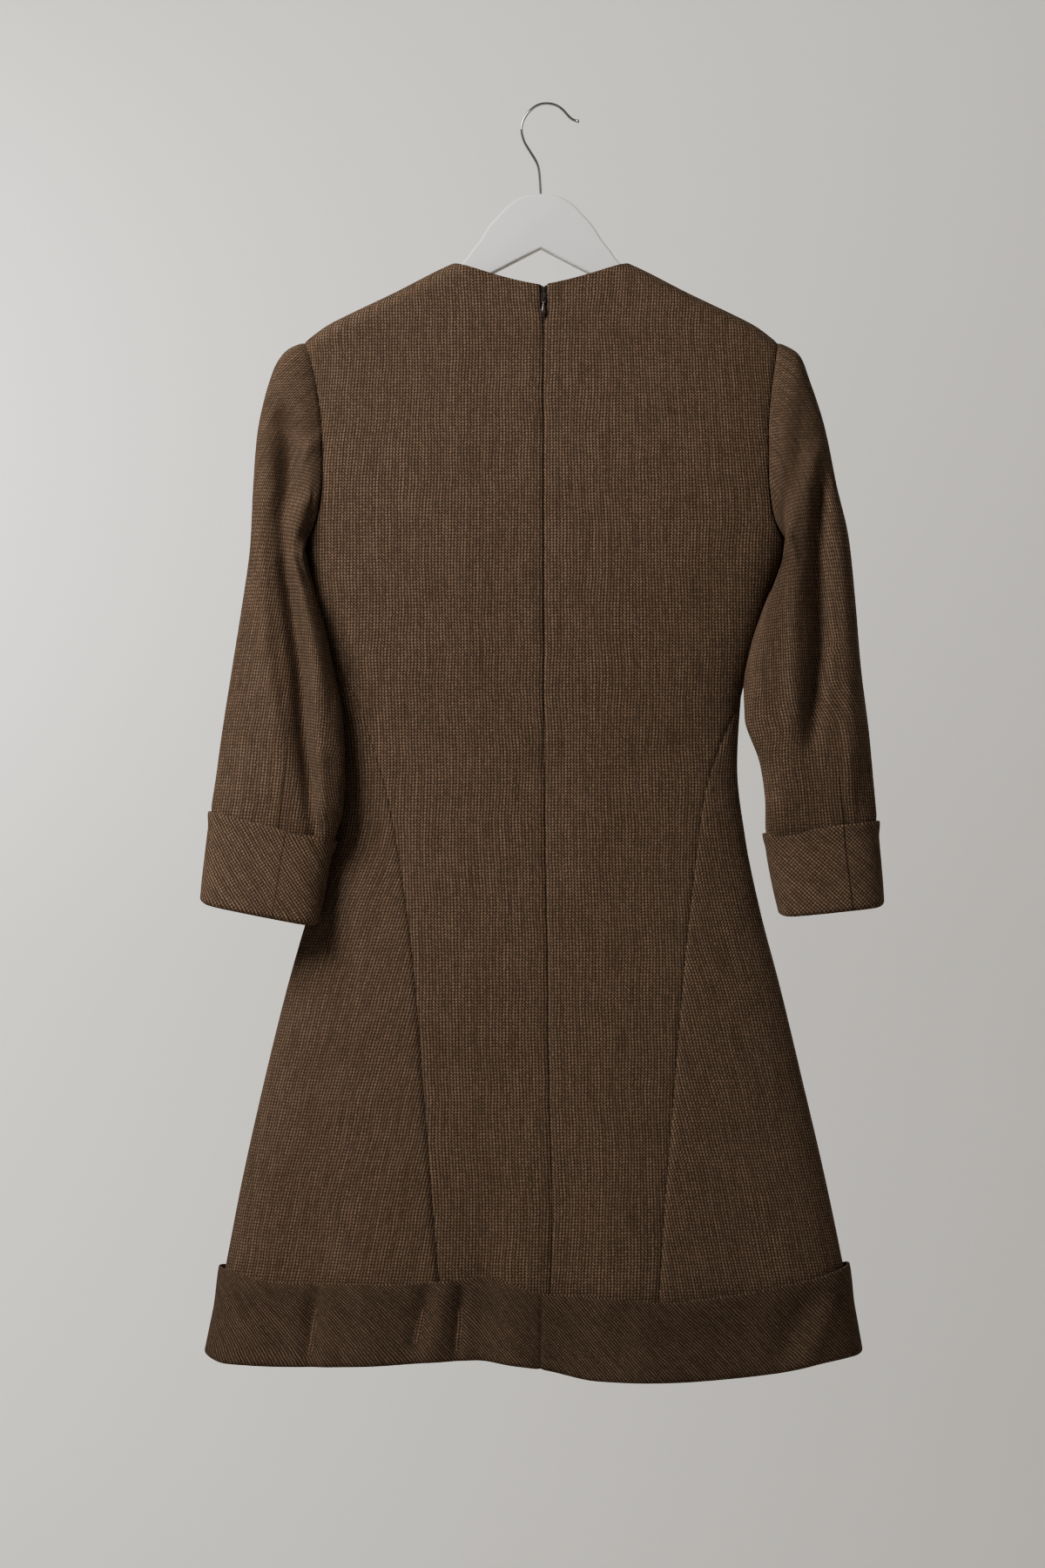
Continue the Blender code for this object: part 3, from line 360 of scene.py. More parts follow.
SEAM_WIDTH = 0.62
STITCH_PITCH = 2.6

ZIP_TOP_DROP = 150.6
ZIP_LENGTH = 560.0
TAPE_WIDTH = 12.0
TAPE_THICKNESS = 0.7
TAPE_FLARE = 1.4  # the tapes' ends turn apart by this much
TAPE_FLARE_DROP = 1.2
TAPE_BEHIND = 0.5  # behind the cloth, past its seam gap
COIL_PITCH = 1.25
COIL_MIDDLE, COIL_REACH, COIL_HALF_DEPTH = 0.75, 1.15, 0.42
TAB_AXIS_DROP = 161.6
TAB = {"length": 16.0, "bar": 0.9, "neck_half": 1.6, "widest_half": 2.1, "dome": 1.35}
TAB_DROP_SHAPE = table(
    "along  half",
    (2.7, 0.55), (3.5, 0.75), (5, 1), (7, 1.45), (9, 1.9),
    (10.5, 2.1), (12, 1.95), (13.5, 1.5), (14.8, 0.85), (15.5, 0.3),
)
COIL_WIRE = 0.28
LOOP_WIRE = 0.36

# Where the camera stands, and how much it takes in.
CAMERA_DISTANCE = 2.7
VIEW_MIDDLE = (-0.020, -0.556)
VIEW_HEIGHT = 1.2834
FLOOR = -2.1


def smooth(at, places, values):
    """Cubic through a table's rows that never runs past them.

    A row's slope is the harmonic mean of the slopes before and after it, and level at a turn.
    """
    at = np.clip(at, places[0], places[-1])
    steps = np.diff(places)
    steep = np.diff(values) / steps
    before, after = steep[:-1], steep[1:]
    weight = 2 * steps[1:] + steps[:-1], steps[1:] + 2 * steps[:-1]
    same_way = before * after > 0
    safe = np.where(same_way, before, 1), np.where(same_way, after, 1)
    inner = np.where(same_way, sum(weight) / (weight[0] / safe[0] + weight[1] / safe[1]), 0)
    slopes = np.concatenate([steep[:1], inner, steep[-1:]])
    i = np.clip(np.searchsorted(places, at, side="right") - 1, 0, len(places) - 2)
    t = (at - places[i]) / steps[i]
    rise = values[i + 1] - values[i]
    bend = (slopes[i] * steps[i] - rise) * (1 - t) - (slopes[i + 1] * steps[i] - rise) * t
    return values[i] + rise * t + bend * t * (1 - t)


def column(rows, name, at, key="drop"):
    """A column of a table at other places than its rows."""
    return smooth(np.asarray(at, float), rows[key], rows[name])


def power(value, exponent):
    """A power that keeps the sign."""
    return np.sign(value) * np.abs(value) ** exponent


def step_up(value):
    """0 below 0, 1 above 1, and a soft step between them."""
    t = np.clip(value, 0, 1)
    return t * t * (3 - 2 * t)


def blend(a, b, share):
    """From a at share 0 to b at share 1."""
    return a + (b - a) * share


def unit(vectors):
    return vectors / np.maximum(np.linalg.norm(vectors, axis=-1, keepdims=True), 1e-12)


def ring(drop):
    """Middle, half width, half depth and squareness of the body's ring at a drop."""
    left, right = column(BODY, "left", drop), column(BODY, "right", drop)
    return (
        (left + right) / 2,
        (right - left) / 2,
        column(BODY, "half_depth", drop),
        column(BODY, "squareness", drop),
    )


def angle_at(x, drop, side):
    """Angle round the ring of a place across it, on its back or front."""
    middle, half_width, _, _ = ring(drop)
    return side * np.arccos(np.clip((x - middle) / half_width, -1, 1))


def shoulder_drop(x):
    """Drop of the shoulder line at a place across."""
    return column(SHOULDER, "drop", np.abs(x - SHOULDER_CENTRE), key="out")


def top_drop(x, side):
    """Drop of a panel's upper edge: the neckline between the neck points, then the shoulder."""
    across = np.minimum(np.abs(x - SHOULDER_CENTRE) / NECK_HALF_WIDTH, 1)
    lowest, exponent = NECKS[side]
    neck = lowest - (lowest - NECK_POINT_DROP) * across**exponent
    return np.where(across < 1, neck, shoulder_drop(x) + SHOULDER_EDGE)


def hem_drop(angle, edge):
    """Drop of the hem band's top or bottom at an angle: the table's behind, level in front."""
    middle, half_width, _, _ = ring(HEM_RING_DROP)
    x = middle + half_width * np.cos(angle)
    level = FRONT_HEM_TOP if edge == "top" else FRONT_HEM_BOTTOM
    return blend(column(HEM, edge, x, key="x"), level, step_up(np.sin(angle) / 0.8))


def flutes(x, drop, angle):
    """Outward height of the skirt's flutes: bell-shaped across, and growing towards the hem."""
    side, height = np.where(np.sin(angle) < 0, BACK, FRONT), 0.0
    for row in rows_of(FLUTES):
        down = (drop - row["drop_top"]) / (HEM_RING_DROP - row["drop_top"])
        across = (x - blend(row["x_top"], row["x_hem"], down)) / row["width"]
        bell = np.exp(-(across**2)) * step_up(down) * np.abs(np.sin(angle))
        height = height + np.where(side == row["side"], row["height"] * bell, 0.0)
    return height


def creases(rows, x, drop, angle):
    """Outward height of a table's creases.

    With t the share along a crease's line and d the distance from it, the height is
    exp(-(d / width)^2) times a soft step up over the line's first third and down over its last.
    """
    side, height = np.where(np.sin(angle) < 0, BACK, FRONT), 0.0
    for row in rows_of(rows):
        line = np.array([row["x_to"] - row["x_from"], row["drop_to"] - row["drop_from"]])
        length = np.linalg.norm(line)
        line = line / length
        dx, dz = x - row["x_from"], drop - row["drop_from"]
        t = (dx * line[0] + dz * line[1]) / length
        away = dx * line[1] - dz * line[0]
        shape = np.exp(-((away / row["width"]) ** 2)) * step_up(t * 3) * step_up((1 - t) * 3)
        height = height + np.where(side == row["side"], row["height"] * shape, 0.0)
    return height


def fold_heights(rows, x, drop):
    """Outward height of a table of folds, each along a line of several straight runs.

    With d the distance from the line and w the reach on that side of it, a fold's height is
    exp(-(d / w)^2), with a soft step up over its first fifth and down over its last quarter.
    """
    total = np.zeros(x.shape)
    for left_reach, right_reach, height, line in rows:
        line = np.array(line, float)
        runs = np.linalg.norm(np.diff(line, axis=0), axis=1)
        starts = np.concatenate([[0], np.cumsum(runs)])
        nearest = np.full(x.shape, 1e9)
        share, side = np.zeros(x.shape), np.zeros(x.shape)
        for i, run in enumerate(runs):
            (x0, d0), (dx, dd) = line[i], (line[i + 1] - line[i]) / run
            t = np.clip((x - x0) * dx + (drop - d0) * dd, 0, run)
            off_x, off_d = x - x0 - t * dx, drop - d0 - t * dd
            away = np.hypot(off_x, off_d)
            closer = away < nearest
            nearest = np.where(closer, away, nearest)
            share = np.where(closer, (starts[i] + t) / starts[-1], share)
            side = np.where(closer, off_x * dd - off_d * dx, side)
        reach = np.where(side < 0, left_reach, right_reach)
        ends = step_up(share / 0.2) * step_up((1 - share) / 0.25)
        total += height * np.exp(-((nearest / reach) ** 2)) * ends
    return total


def body_point(angle, drop, out=0.0, folds=None):
    """A point of the body, and the outward normal there.

    Across the ring |u|^k + |y / depth|^k = 1, where u is the cosine of the angle. Near the
    shoulder line the depth is rounded to nothing by a quarter of an ellipse. The normal is the
    gradient of that equation. The flutes, the creases and out move the point along the normal.
    """
    drop = np.asarray(drop, float)
    middle, width, depth, k = ring(drop)
    u = np.cos(angle)
    x = middle + width * u
    below = np.maximum(drop - shoulder_drop(x), SHOULDER_EDGE) / SHOULDER_ROUND
    rest = np.clip(1 - below, 0, 1)
    rounding = np.sqrt(1 - rest**2)
    q = 1 - np.abs(u) ** k
    y = np.sign(np.sin(angle)) * depth * rounding * np.maximum(q, 0) ** (1 / k)

    nudge = 0.5
    before, after = ring(drop - nudge), ring(drop + nudge)
    middle_slope, width_slope, depth_slope = ((after[i] - before[i]) / (2 * nudge) for i in range(3))
    shoulder_slope = (shoulder_drop(x + nudge) - shoulder_drop(x - nudge)) / (2 * nudge)
    turning = rest / SHOULDER_ROUND / rounding**2
    across = power(u, k - 1) / width
    along_x = across + q * turning * shoulder_slope
    along_y = power(y, k - 1) / (depth * rounding) ** k
    down = (
        -np.abs(u) ** k * width_slope / width
        - across * middle_slope
        - q * depth_slope / depth
        - q * turning
    )
    normal = unit(np.stack([along_x, along_y, -down], axis=-1))
    point = np.stack([x, y, -drop], axis=-1)
    height = flutes(x, drop, angle) + out
    if folds is not None:
        height = height + creases(folds, x, drop, angle)
    return point + normal * height[..., None], normal


def armhole_x(drop, side, hand):
    """Place across of a panel's outer edge at a drop."""
    name = ("front" if side == FRONT else "back") + ("_left" if hand == LEFT else "_right")
    seam, hole = column(SIDE_SEAMS, name, drop), column(ARMHOLE, name, drop)
    return np.where(drop > ARMPIT_DROP, seam, hole)


def edge_angle(drop, side, hand):
    """Angle of a panel's outer edge: the armhole above the armpit, and the side seam below it."""
    return angle_at(armhole_x(drop, side, hand), drop, side)


def centre_back_angle(drop, hand):
    """Angle of a back panel's edge at the zip."""
    x = column(CENTRE_BACK, "x", drop) + hand * column(ZIP_OPENING, "half", drop)
    return angle_at(x, drop, BACK)


def arm_shares(count):
    """Shares of the way down an armhole, close together at the shoulder and the armpit."""
    return (1 - np.cos(np.linspace(0, HALF_TURN, count + 1))) / 2


def side_edges(drop, hand):
    """Angles of a side panel's back and front seams, which run on past the side fold."""
    back, front = edge_angle(drop, BACK, hand), edge_angle(drop, FRONT, hand)
    return back, front - 2 * HALF_TURN if hand == LEFT else front


def skirt_end(angles):
    """Drop of the skirt's own edge, which stops above the turn of the hem band."""
    return hem_drop(angles, "bottom") - CLOTH - 2 * SEAM_GAP


def normals_of(points, closed=False):
    """Unit normals of a grid: the cross product of its steps across and down."""
    if closed:
        across = np.roll(points, -1, axis=1) - np.roll(points, 1, axis=1)
    else:
        across = np.gradient(points, axis=1)
    return unit(np.cross(across, np.gradient(points, axis=0)))


def lengths_across(points, start):
    """Distance along each row of a grid from the column start, in metres."""
    steps = np.linalg.norm(np.diff(points, axis=1), axis=-1)
    along = np.concatenate([np.zeros((len(points), 1)), np.cumsum(steps, axis=1)], axis=1)
    return (along - along[:, start : start + 1]) * MM


def lengths_down(points):
    """Distance down each column of a grid, in metres, as its mean over the columns."""
    steps = np.linalg.norm(np.diff(points, axis=0), axis=-1).mean(axis=1)
    return -np.concatenate([[0], np.cumsum(steps)])[:, None] * MM


def add_object(name, data):
    thing = bpy.data.objects.new(name, data)
    bpy.context.scene.collection.objects.link(thing)
    return thing


def make_mesh(name, points, faces, material, uv=None, body="dress"):
    """A piece from points in millimetres and faces, with the weave's map at the faces' corners."""
    mesh = bpy.data.meshes.new(name)
    mesh.from_pydata((points * MM).tolist(), [], faces)
    if uv is not None:
        layer = mesh.uv_layers.new(name="weave")
        layer.data.foreach_set("uv", np.concatenate([np.asarray(c, float).ravel() for c in uv]))
    shape = bmesh.new()
    shape.from_mesh(mesh)
    bmesh.ops.recalc_face_normals(shape, faces=shape.faces)
    shape.to_mesh(mesh)
    shape.free()
    mesh.shade_smooth()
    mesh.materials.append(material)
    thing = add_object(name, mesh)
    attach(thing, body)
    return thing


def corners(grid):
    """The four corners of each square of a grid, in turn."""
    return np.stack([grid[:-1, :-1], grid[:-1, 1:], grid[1:, 1:], grid[1:, :-1]], axis=2)


def ring_faces(count, sides):
    """Faces between rings of points, and one over each end ring."""
    number = np.arange(count * sides).reshape(count, sides)
    faces = corners(np.concatenate([number, number[:, :1]], axis=1))
    return faces.reshape(-1, 4).tolist() + [number[0].tolist(), number[-1].tolist()]


def shell(name, middle, outward, uv, material, thickness=CLOTH, closed=False, sink=0.0):
    """A wall of cloth round a grid of middle points.

    Its two sides lie half a thickness away along the grid's normals, and half circles join them
    over the first and last rows. sink lowers the outer side, for the ditch of a seam. outward is
    a direction at each point that tells the outer side from the inner one.
    """
    normals = normals_of(middle, closed)
    normals = normals * np.sign(np.median((normals * outward).sum(axis=-1)))
    half = thickness / 2
    outer = middle + normals * (half - np.asarray(sink) * np.ones(middle.shape[:2]))[..., None]
    inner = middle - normals * half
    turns = np.linspace(0, HALF_TURN, 6)[1:-1][:, None, None]
    edges = []
    for last, before in ((-1, -2), (0, 1)):
        past = unit(middle[last] - middle[before])
        reach = np.linalg.norm(outer[last] - inner[last], axis=-1, keepdims=True) / 2
        centre = (outer[last] + inner[last]) / 2
        edges.append(centre + (normals[last] * np.cos(turns) + past * np.sin(turns)) * reach)
    rows = np.concatenate([outer, edges[0], inner[::-1], edges[1][::-1]])
    ends = [np.repeat(uv[[i]], len(turns), axis=0) for i in (-1, 0)]
    rows_uv = np.concatenate([uv, ends[0], uv[::-1], ends[1]])

    count, columns = rows.shape[:2]
    number = np.arange(count * columns).reshape(count, columns)
    wrapped = np.concatenate([number, number[:, :1]], axis=1) if closed else number
    all_faces = corners(np.concatenate([wrapped, wrapped[:1]])).reshape(-1, 4).tolist()
    all_uv = [corners(np.concatenate([rows_uv, rows_uv[:1]]))]
    if not closed:
        size, arc = len(middle), len(turns)
        for side in (0, -1):
            a, b = number[: size - 1, side], number[1:size, side]
            back = number[size + arc : 2 * size + arc, side][::-1]
            rim = np.stack([a, b, back[1:], back[:-1]], axis=-1)
            all_faces += rim.tolist()
            edge = uv[:, side]
            all_uv.append(np.stack([edge[:-1], edge[1:], edge[1:], edge[:-1]], axis=1))
            for cap in (
                number[size - 1 : size + arc + 1, side],
                np.concatenate([number[2 * size + arc - 1 :, side], number[:1, side]]),
            ):
                all_faces.append(cap.tolist())
                all_uv.append(np.repeat(edge[:1], len(cap), axis=0))
    return make_mesh(name, rows.reshape(-1, 3), all_faces, material, all_uv)


def seam_ditch(points, ends, depth=0.75, width=2.4):
    """How far a piece's outer side sinks near its sewn edges: depth times exp(-(d / width)^2)."""
    sink = np.zeros(points.shape[:2])
    for end in ends:
        if end in ("first", "last"):
            edge = points[:, :1] if end == "first" else points[:, -1:]
        else:
            edge = points[:1] if end == "top" else points[-1:]
        away = np.linalg.norm(points - edge, axis=-1)
        sink = np.maximum(sink, depth * np.exp(-((away / width) ** 2)))
    return sink


def panel_rows(top, bottom, arm, skirt):
    """Drops down a panel, for each of its columns: armhole rows, then evenly down to the hem."""
    upper = blend(top, ARMPIT_DROP, arm_shares(arm)[:, None])
    lower = blend(ARMPIT_DROP, bottom, np.linspace(0, 1, skirt + 1)[1:, None])
    return np.concatenate([upper, lower])


def tight_ends(count, tightness=0.5):
    """Shares from 0 to 1 that lie closer together at both ends."""
    even = np.linspace(0, 1, count + 1)
    return blend(even, (1 - np.cos(even * HALF_TURN)) / 2, tightness)


def panel(shares, side, first_edge, last_edge, arm=56, skirt=130):
    """Middle points of a back or front panel, with its outward normals and drops."""
    level = np.full(len(shares), NECK_POINT_DROP)
    middle, half_width, _, _ = ring(level)
    angles = blend(first_edge(level), last_edge(level), shares)
    x = middle + half_width * np.cos(angles)
    top = top_drop(x, side)
    low = np.full(len(shares), HEM_RING_DROP)
    drops = panel_rows(top, skirt_end(blend(first_edge(low), last_edge(low), shares)), arm, skirt)
    in_neck = np.abs(x - SHOULDER_CENTRE) < NECK_HALF_WIDTH
    drops[0] += np.where(in_neck, EDGE_DROP, SHOULDER_SEAM_DROP)
    grid = blend(first_edge(drops), last_edge(drops), shares)
    points, normals = body_point(grid, drops, out=-CLOTH / 2, folds=BODY_CREASES)
    return points, normals, drops


def neck_share(first_edge, last_edge, hand, side):
    """Share of the way across a panel at which a neck point lies."""
    level = NECK_POINT_DROP
    at = angle_at(SHOULDER_CENTRE + hand * NECK_HALF_WIDTH, level, side)
    start, end = first_edge(level), last_edge(level)
    return float((at - start) / (end - start))


def back_panel(hand, word, material):
    """A back panel, from the zip to the armhole and the side seam."""

    def first(drop):
        return centre_back_angle(drop, hand)

    def last(drop):
        return edge_angle(drop, BACK, hand)

    neck = neck_share(first, last, hand, BACK)
    shares = np.concatenate([neck * tight_ends(20), blend(neck, 1, tight_ends(34))[1:]])
    points, normals, drops = panel(shares, BACK, first, last)
    across = lengths_across(points, 0) * hand
    uv = np.stack([across, -drops * MM], axis=-1)
    sink = seam_ditch(points, ["last"]) + seam_ditch(points, ["first"], depth=1.1, width=2.2)
    return shell("back_" + word + "_wool", points, normals, uv, material, sink=np.minimum(sink, 1.2))


def front_panel(material):
    """The front, in one piece."""

    def first(drop):
        return edge_angle(drop, FRONT, LEFT)

    def last(drop):
        return edge_angle(drop, FRONT, RIGHT)

    left, right = (neck_share(first, last, hand, FRONT) for hand in (LEFT, RIGHT))
    middle = blend(left, right, tight_ends(40))[1:]
    shares = np.concatenate([left * tight_ends(34), middle, blend(right, 1, tight_ends(34))[1:]])
    points, normals, drops = panel(shares, FRONT, first, last)
    uv = np.stack([lengths_across(points, len(shares) // 2), -drops * MM], axis=-1)
    sink = seam_ditch(points, ["first", "last"])
    return shell("front_wool", points, normals, uv, material, sink=sink)


def side_panel(hand, word, material):
    """A side panel, from the armpit down and round the side fold."""
    shares = tight_ends(60, 0.3)
    low = side_edges(HEM_RING_DROP, hand)
    ends = skirt_end(blend(*low, shares))
    drops = blend(ARMPIT_DROP, ends, tight_ends(150, 0.2)[:, None])
    drops[0] += EDGE_DROP
    angles = blend(*side_edges(drops, hand), shares)
    points, normals = body_point(angles, drops, out=-CLOTH / 2, folds=BODY_CREASES)
    uv = np.stack([lengths_across(points, 30) * -hand, -drops * MM], axis=-1)
    sink = seam_ditch(points, ["first", "last", "top"])
    return shell("side_" + word + "_wool", points, normals, uv, material, sink=sink)


def armhole_loop(hand, count):
    """Points round an armhole, and the angle of each round the sleeve.

    It goes from under the arm up the front, over the shoulder tip and down the back.
    """
    drops = blend(SHOULDER_TIP_DROP, ARMPIT_DROP, arm_shares(count))
    drops[0] += SHOULDER_EDGE
    turns = np.linspace(0, HALF_TURN, count + 1)
    back = body_point(edge_angle(drops, BACK, hand), drops)[0]
    back[0, 1] = 0
    under_shares = np.linspace(0, 1, 5)
    under_drops = np.full(len(under_shares), ARMPIT_DROP + SHOULDER_EDGE)
    under = body_point(blend(*side_edges(under_drops, hand), under_shares), under_drops)[0]
    front = body_point(edge_angle(drops, FRONT, hand), drops)[0]
    points = np.concatenate([under[2:-1], front[:0:-1], back[:-1], under[:2]])
    under_turns = HALF_TURN + under_shares * UNDERARM_ARC
    front_turns = 2 * HALF_TURN - turns * (HALF_TURN - UNDERARM_ARC) / HALF_TURN
    before = np.concatenate([under_turns[2:-1], front_turns[:0:-1]]) - 2 * HALF_TURN
    return points, np.concatenate([before, turns[:-1], under_turns[:2]])


def sleeve_sections(hand, turns, along, folded=True):
    """Points of a sleeve's plain sections: flattened rings from the outer fold to the inner one."""
    at = {name: column(SLEEVES[hand], name, along, key="along")[:, None] for name in SLEEVES[hand]}
    u = np.cos(turns)
    across = (1 - u) / 2
    depth = (1 - np.abs(u) ** SLEEVE_SQUARENESS) ** (1 / SLEEVE_SQUARENESS) * np.sign(np.sin(turns))
    x = blend(at["outer_x"], at["inner_x"], across)
    z = -blend(at["outer_drop"], at["inner_drop"], across)
    y = at["lean"] - at["half_depth"] * depth
    if folded:
        trough = np.exp(-(((across - at["trough_at"]) / TROUGH_WIDTH) ** 2))
        behind = np.exp(-(((across - at["trough_at"] - FRONT_TROUGH_SHIFT) / TROUGH_WIDTH) ** 2))
        pressed = np.where(depth > 0, trough, -FRONT_TROUGH_SHARE * behind)
        y = y + at["trough_depth"] * pressed * np.minimum(np.abs(depth) * 1.5, 1)
    return np.stack([x, y, z], axis=-1)


def outwards(points):
    """Directions away from the middle of each row of points."""
    return points - points.mean(axis=1, keepdims=True)


def tube_normals(points):
    """Unit normals of a closed grid that point away from its middle."""
    normals = normals_of(points, closed=True)
    return normals * np.sign(np.median((normals * outwards(points)).sum(axis=-1)))


def sleeve_map(hand, points, turns, along):
    """Map of a sleeve's weave, which leans outwards at the head and then follows the arm.

    The sleeve is unrolled from the middle of its back. With L the lean of the grain at a drop,
    u = out * cos(L) and v = -length - out * sin(L), where out is the distance out from a line
    that leans as the grain does, held below MAP_REACH in v, and length is the distance down that
    line. On the front, out
    is the outer fold's own out and the level distance from that fold at the same height.
    """
    drops = np.linspace(GRAIN["drop"][0], GRAIN["drop"][-1], 400)
    lean = np.radians(column(GRAIN, "lean", drops))
    step = drops[1] - drops[0]
    line, length = np.cumsum(np.tan(lean)) * step, np.cumsum(1 / np.cos(lean)) * step

    def place(x, drop):
        here = np.interp(drop, drops, lean)
        out = hand * x - np.interp(drop, drops, line)
        near = MAP_REACH * np.tanh(out / MAP_REACH)
        v = -np.interp(drop, drops, length) - near * np.sin(here)
        return np.stack([out * np.cos(here), v], axis=-1)

    middle = points.shape[1] * 3 // 4
    run = lengths_across(points, middle) / MM
    x = points[:, middle : middle + 1, 0] - hand * run
    fold = int(np.argmin(np.abs(turns)))
    fold_x, fold_y, fold_z = points[:, fold].T * np.array([[hand], [1], [1]])
    level_x, level_y = (np.interp(points[..., 2], fold_z[::-1], f[::-1]) for f in (fold_x, fold_y))
    mirrored = level_x + np.hypot(level_x - hand * points[..., 0], points[..., 1] - level_y)
    below_head = np.maximum(np.arange(len(points)), int(np.argmax(along > SLEEVE_HEAD)))
    ahead = (hand * x[:, fold] - fold_x)[below_head]
    front = np.arange(points.shape[1]) < fold
    x = np.where(front, hand * (mirrored + ahead[:, None]), x)
    uv = place(x, -points[..., 2]) - place(*SLEEVE_SEAMS[hand])
    return np.concatenate([uv, uv[:, :1]], axis=1) * MM


def sleeve(hand, word, material):
    """A sleeve: flattened rings with their folds, which pass into the armhole's loop at the head."""
    loop, turns = armhole_loop(hand, SLEEVE_COUNT)
    along = SLEEVE_END * tight_ends(150, 0.25)
    points = sleeve_sections(hand, turns, along)
    across = np.broadcast_to((1 - np.cos(turns)) / 2, points.shape[:2])
    at = along[:, None]
    lean = column(SLEEVES[hand], "lean", at, key="along")
    from_lean = points[..., 1] - lean
    hanging = step_up((at - 0.10) / 0.18) * (1 - step_up((at - 0.93) / 0.12))  # not at either end
    points[..., 1] -= SLEEVE_BEHIND * across**1.4 * hanging

    heights = fold_heights(SLEEVE_FOLDS[hand], points[..., 0], -points[..., 2])
    side = np.clip(from_lean / 6, -1, 1)
    points[..., 1] += side * heights * np.where(side < 0, 1.0, FRONT_FOLD_SHARE)

    from_armpit = np.abs(np.abs(turns) - HALF_TURN)
    head = blend(UNDERARM_HEAD, SLEEVE_HEAD, step_up((from_armpit - UNDERARM_ARC) / 1.0))
    leaving = 1 - step_up(at / head)
    points = points + (loop - points[0]) * leaving[..., None]
    points[-1] += unit(points[-2] - points[-1]) * CLOTH
    normals = tube_normals(points)
    bell = np.exp(-(((at - PUFF_AT) / PUFF_WIDTH) ** 2))
    puff = HEAD_PUFF * bell * np.clip(np.cos(turns) + 0.4, 0, 1)
    inside_cuff = CUFF_ROOM * step_up((at - 0.985) / 0.035)
    middle = points + normals * (puff - inside_cuff - CLOTH / 2)[..., None]
    uv = sleeve_map(hand, points, turns, along)
    sink = seam_ditch(points, ["top"], depth=1.2, width=1.7)
    name = "sleeve_" + word + "_wool"
    return shell(name, middle, outwards(points), uv, material, closed=True, sink=sink)


def turned_path(length, out, under, lip, lip_fade, inside):
    """Section of a turned-back band, as rows of how far out of the cloth and how far up it is.

    It comes down the outside at out, goes round a half circle under the cloth's edge, and ends at
    the height inside, at under. Near the top it stands off by a further lip, over lip_fade.
    """
    radius = (out - under) / 2
    up = np.linspace(length, radius, 22)
    outs = out + lip * step_up((up - length + lip_fade) / lip_fade)
    turn = np.linspace(0, HALF_TURN, 9)[1:-1]
    inner_up = np.linspace(radius, inside, 6)
    rows_out = np.concatenate([outs, under + radius + radius * np.cos(turn), np.full(6, under)])
    rows_up = np.concatenate([up, radius - radius * np.sin(turn), inner_up])
    return rows_out[:, None], rows_up[:, None]


def cuff(hand, word, material):
    """A band that is turned back over the end of a sleeve, with its two folds' corners rounded."""
    turns = armhole_loop(hand, SLEEVE_COUNT)[1]
    outs, ups = turned_path(**CUFF_SECTION)
    along = SLEEVE_END - (SLEEVE_END - 1) * ups[:, 0] / CUFF_SECTION["length"]
    points = sleeve_sections(hand, turns, along, folded=False)
    # every row moves out along the normals of one plain ring near the sleeve's end
    plain = sleeve_sections(hand, turns, np.linspace(0.98, SLEEVE_END, 12), folded=False)
    normals = tube_normals(plain)[-4]
    corner = np.abs(np.cos(turns)) ** 16 * np.clip(1 - ups / CORNER_HEIGHT, 0, 1)
    points[..., 2] += CORNER_LIFT * corner
    middle = points + normals * (outs - CORNER_LIFT / 2 * corner)[..., None]
    seam = int(np.argmin(np.abs(turns - CUFF_SEAM_TURNS[hand])))
    across = lengths_across(np.concatenate([middle, middle[:, :1]], axis=1), seam)
    uv = np.stack([across, np.broadcast_to(lengths_down(middle), across.shape)], axis=-1)
    return shell("cuff_" + word + "_wool", middle, outwards_first(middle), uv, material, closed=True)


def outwards_first(points):
    """Directions away from the middle of a band's outer rows, with no say for the turned-in ones."""
    away = points - points[:1].mean(axis=1, keepdims=True)
    away[OUTER_ROWS:] = 0
    return away


def hem_band(hand, word, material):
    """Half of the band that is turned back over the hem, from the centre back to the front."""
    seam = angle_at(HEM_BAND_SEAM_X, HEM_RING_DROP, BACK)
    start, end = side_edges(HEM_RING_DROP, hand)
    centre_front = -1.5 * HALF_TURN if hand == LEFT else 0.5 * HALF_TURN
    back = blend(seam, start, tight_ends(116, 0.2))
    side = blend(start, end, tight_ends(110, 0.2))[1:]
    front = blend(end, centre_front, tight_ends(60, 0.2))[1:]
    angles = np.concatenate([back, side, front])
    length = hem_drop(angles, "bottom") - hem_drop(angles, "top")
    outs, ups = turned_path(**BAND_SECTION)
    scaled = np.where(ups > BAND_TURN, ups * length / BAND_SECTION["length"], ups)
    drops = hem_drop(angles, "bottom") - scaled
    angles = np.broadcast_to(angles, drops.shape)
    middle, normals = body_point(angles, drops, out=outs, folds=BAND_CREASES)
    v = np.broadcast_to(lengths_down(middle), drops.shape)
    uv = np.stack([lengths_across(middle, 0) * hand, v], axis=-1)
    outward = normals.copy()
    outward[OUTER_ROWS:] = 0
    sink = seam_ditch(middle, ["first", "last"], depth=0.8, width=2.0)
    return shell("hem_band_" + word + "_wool", middle, outward, uv, material, sink=sink)


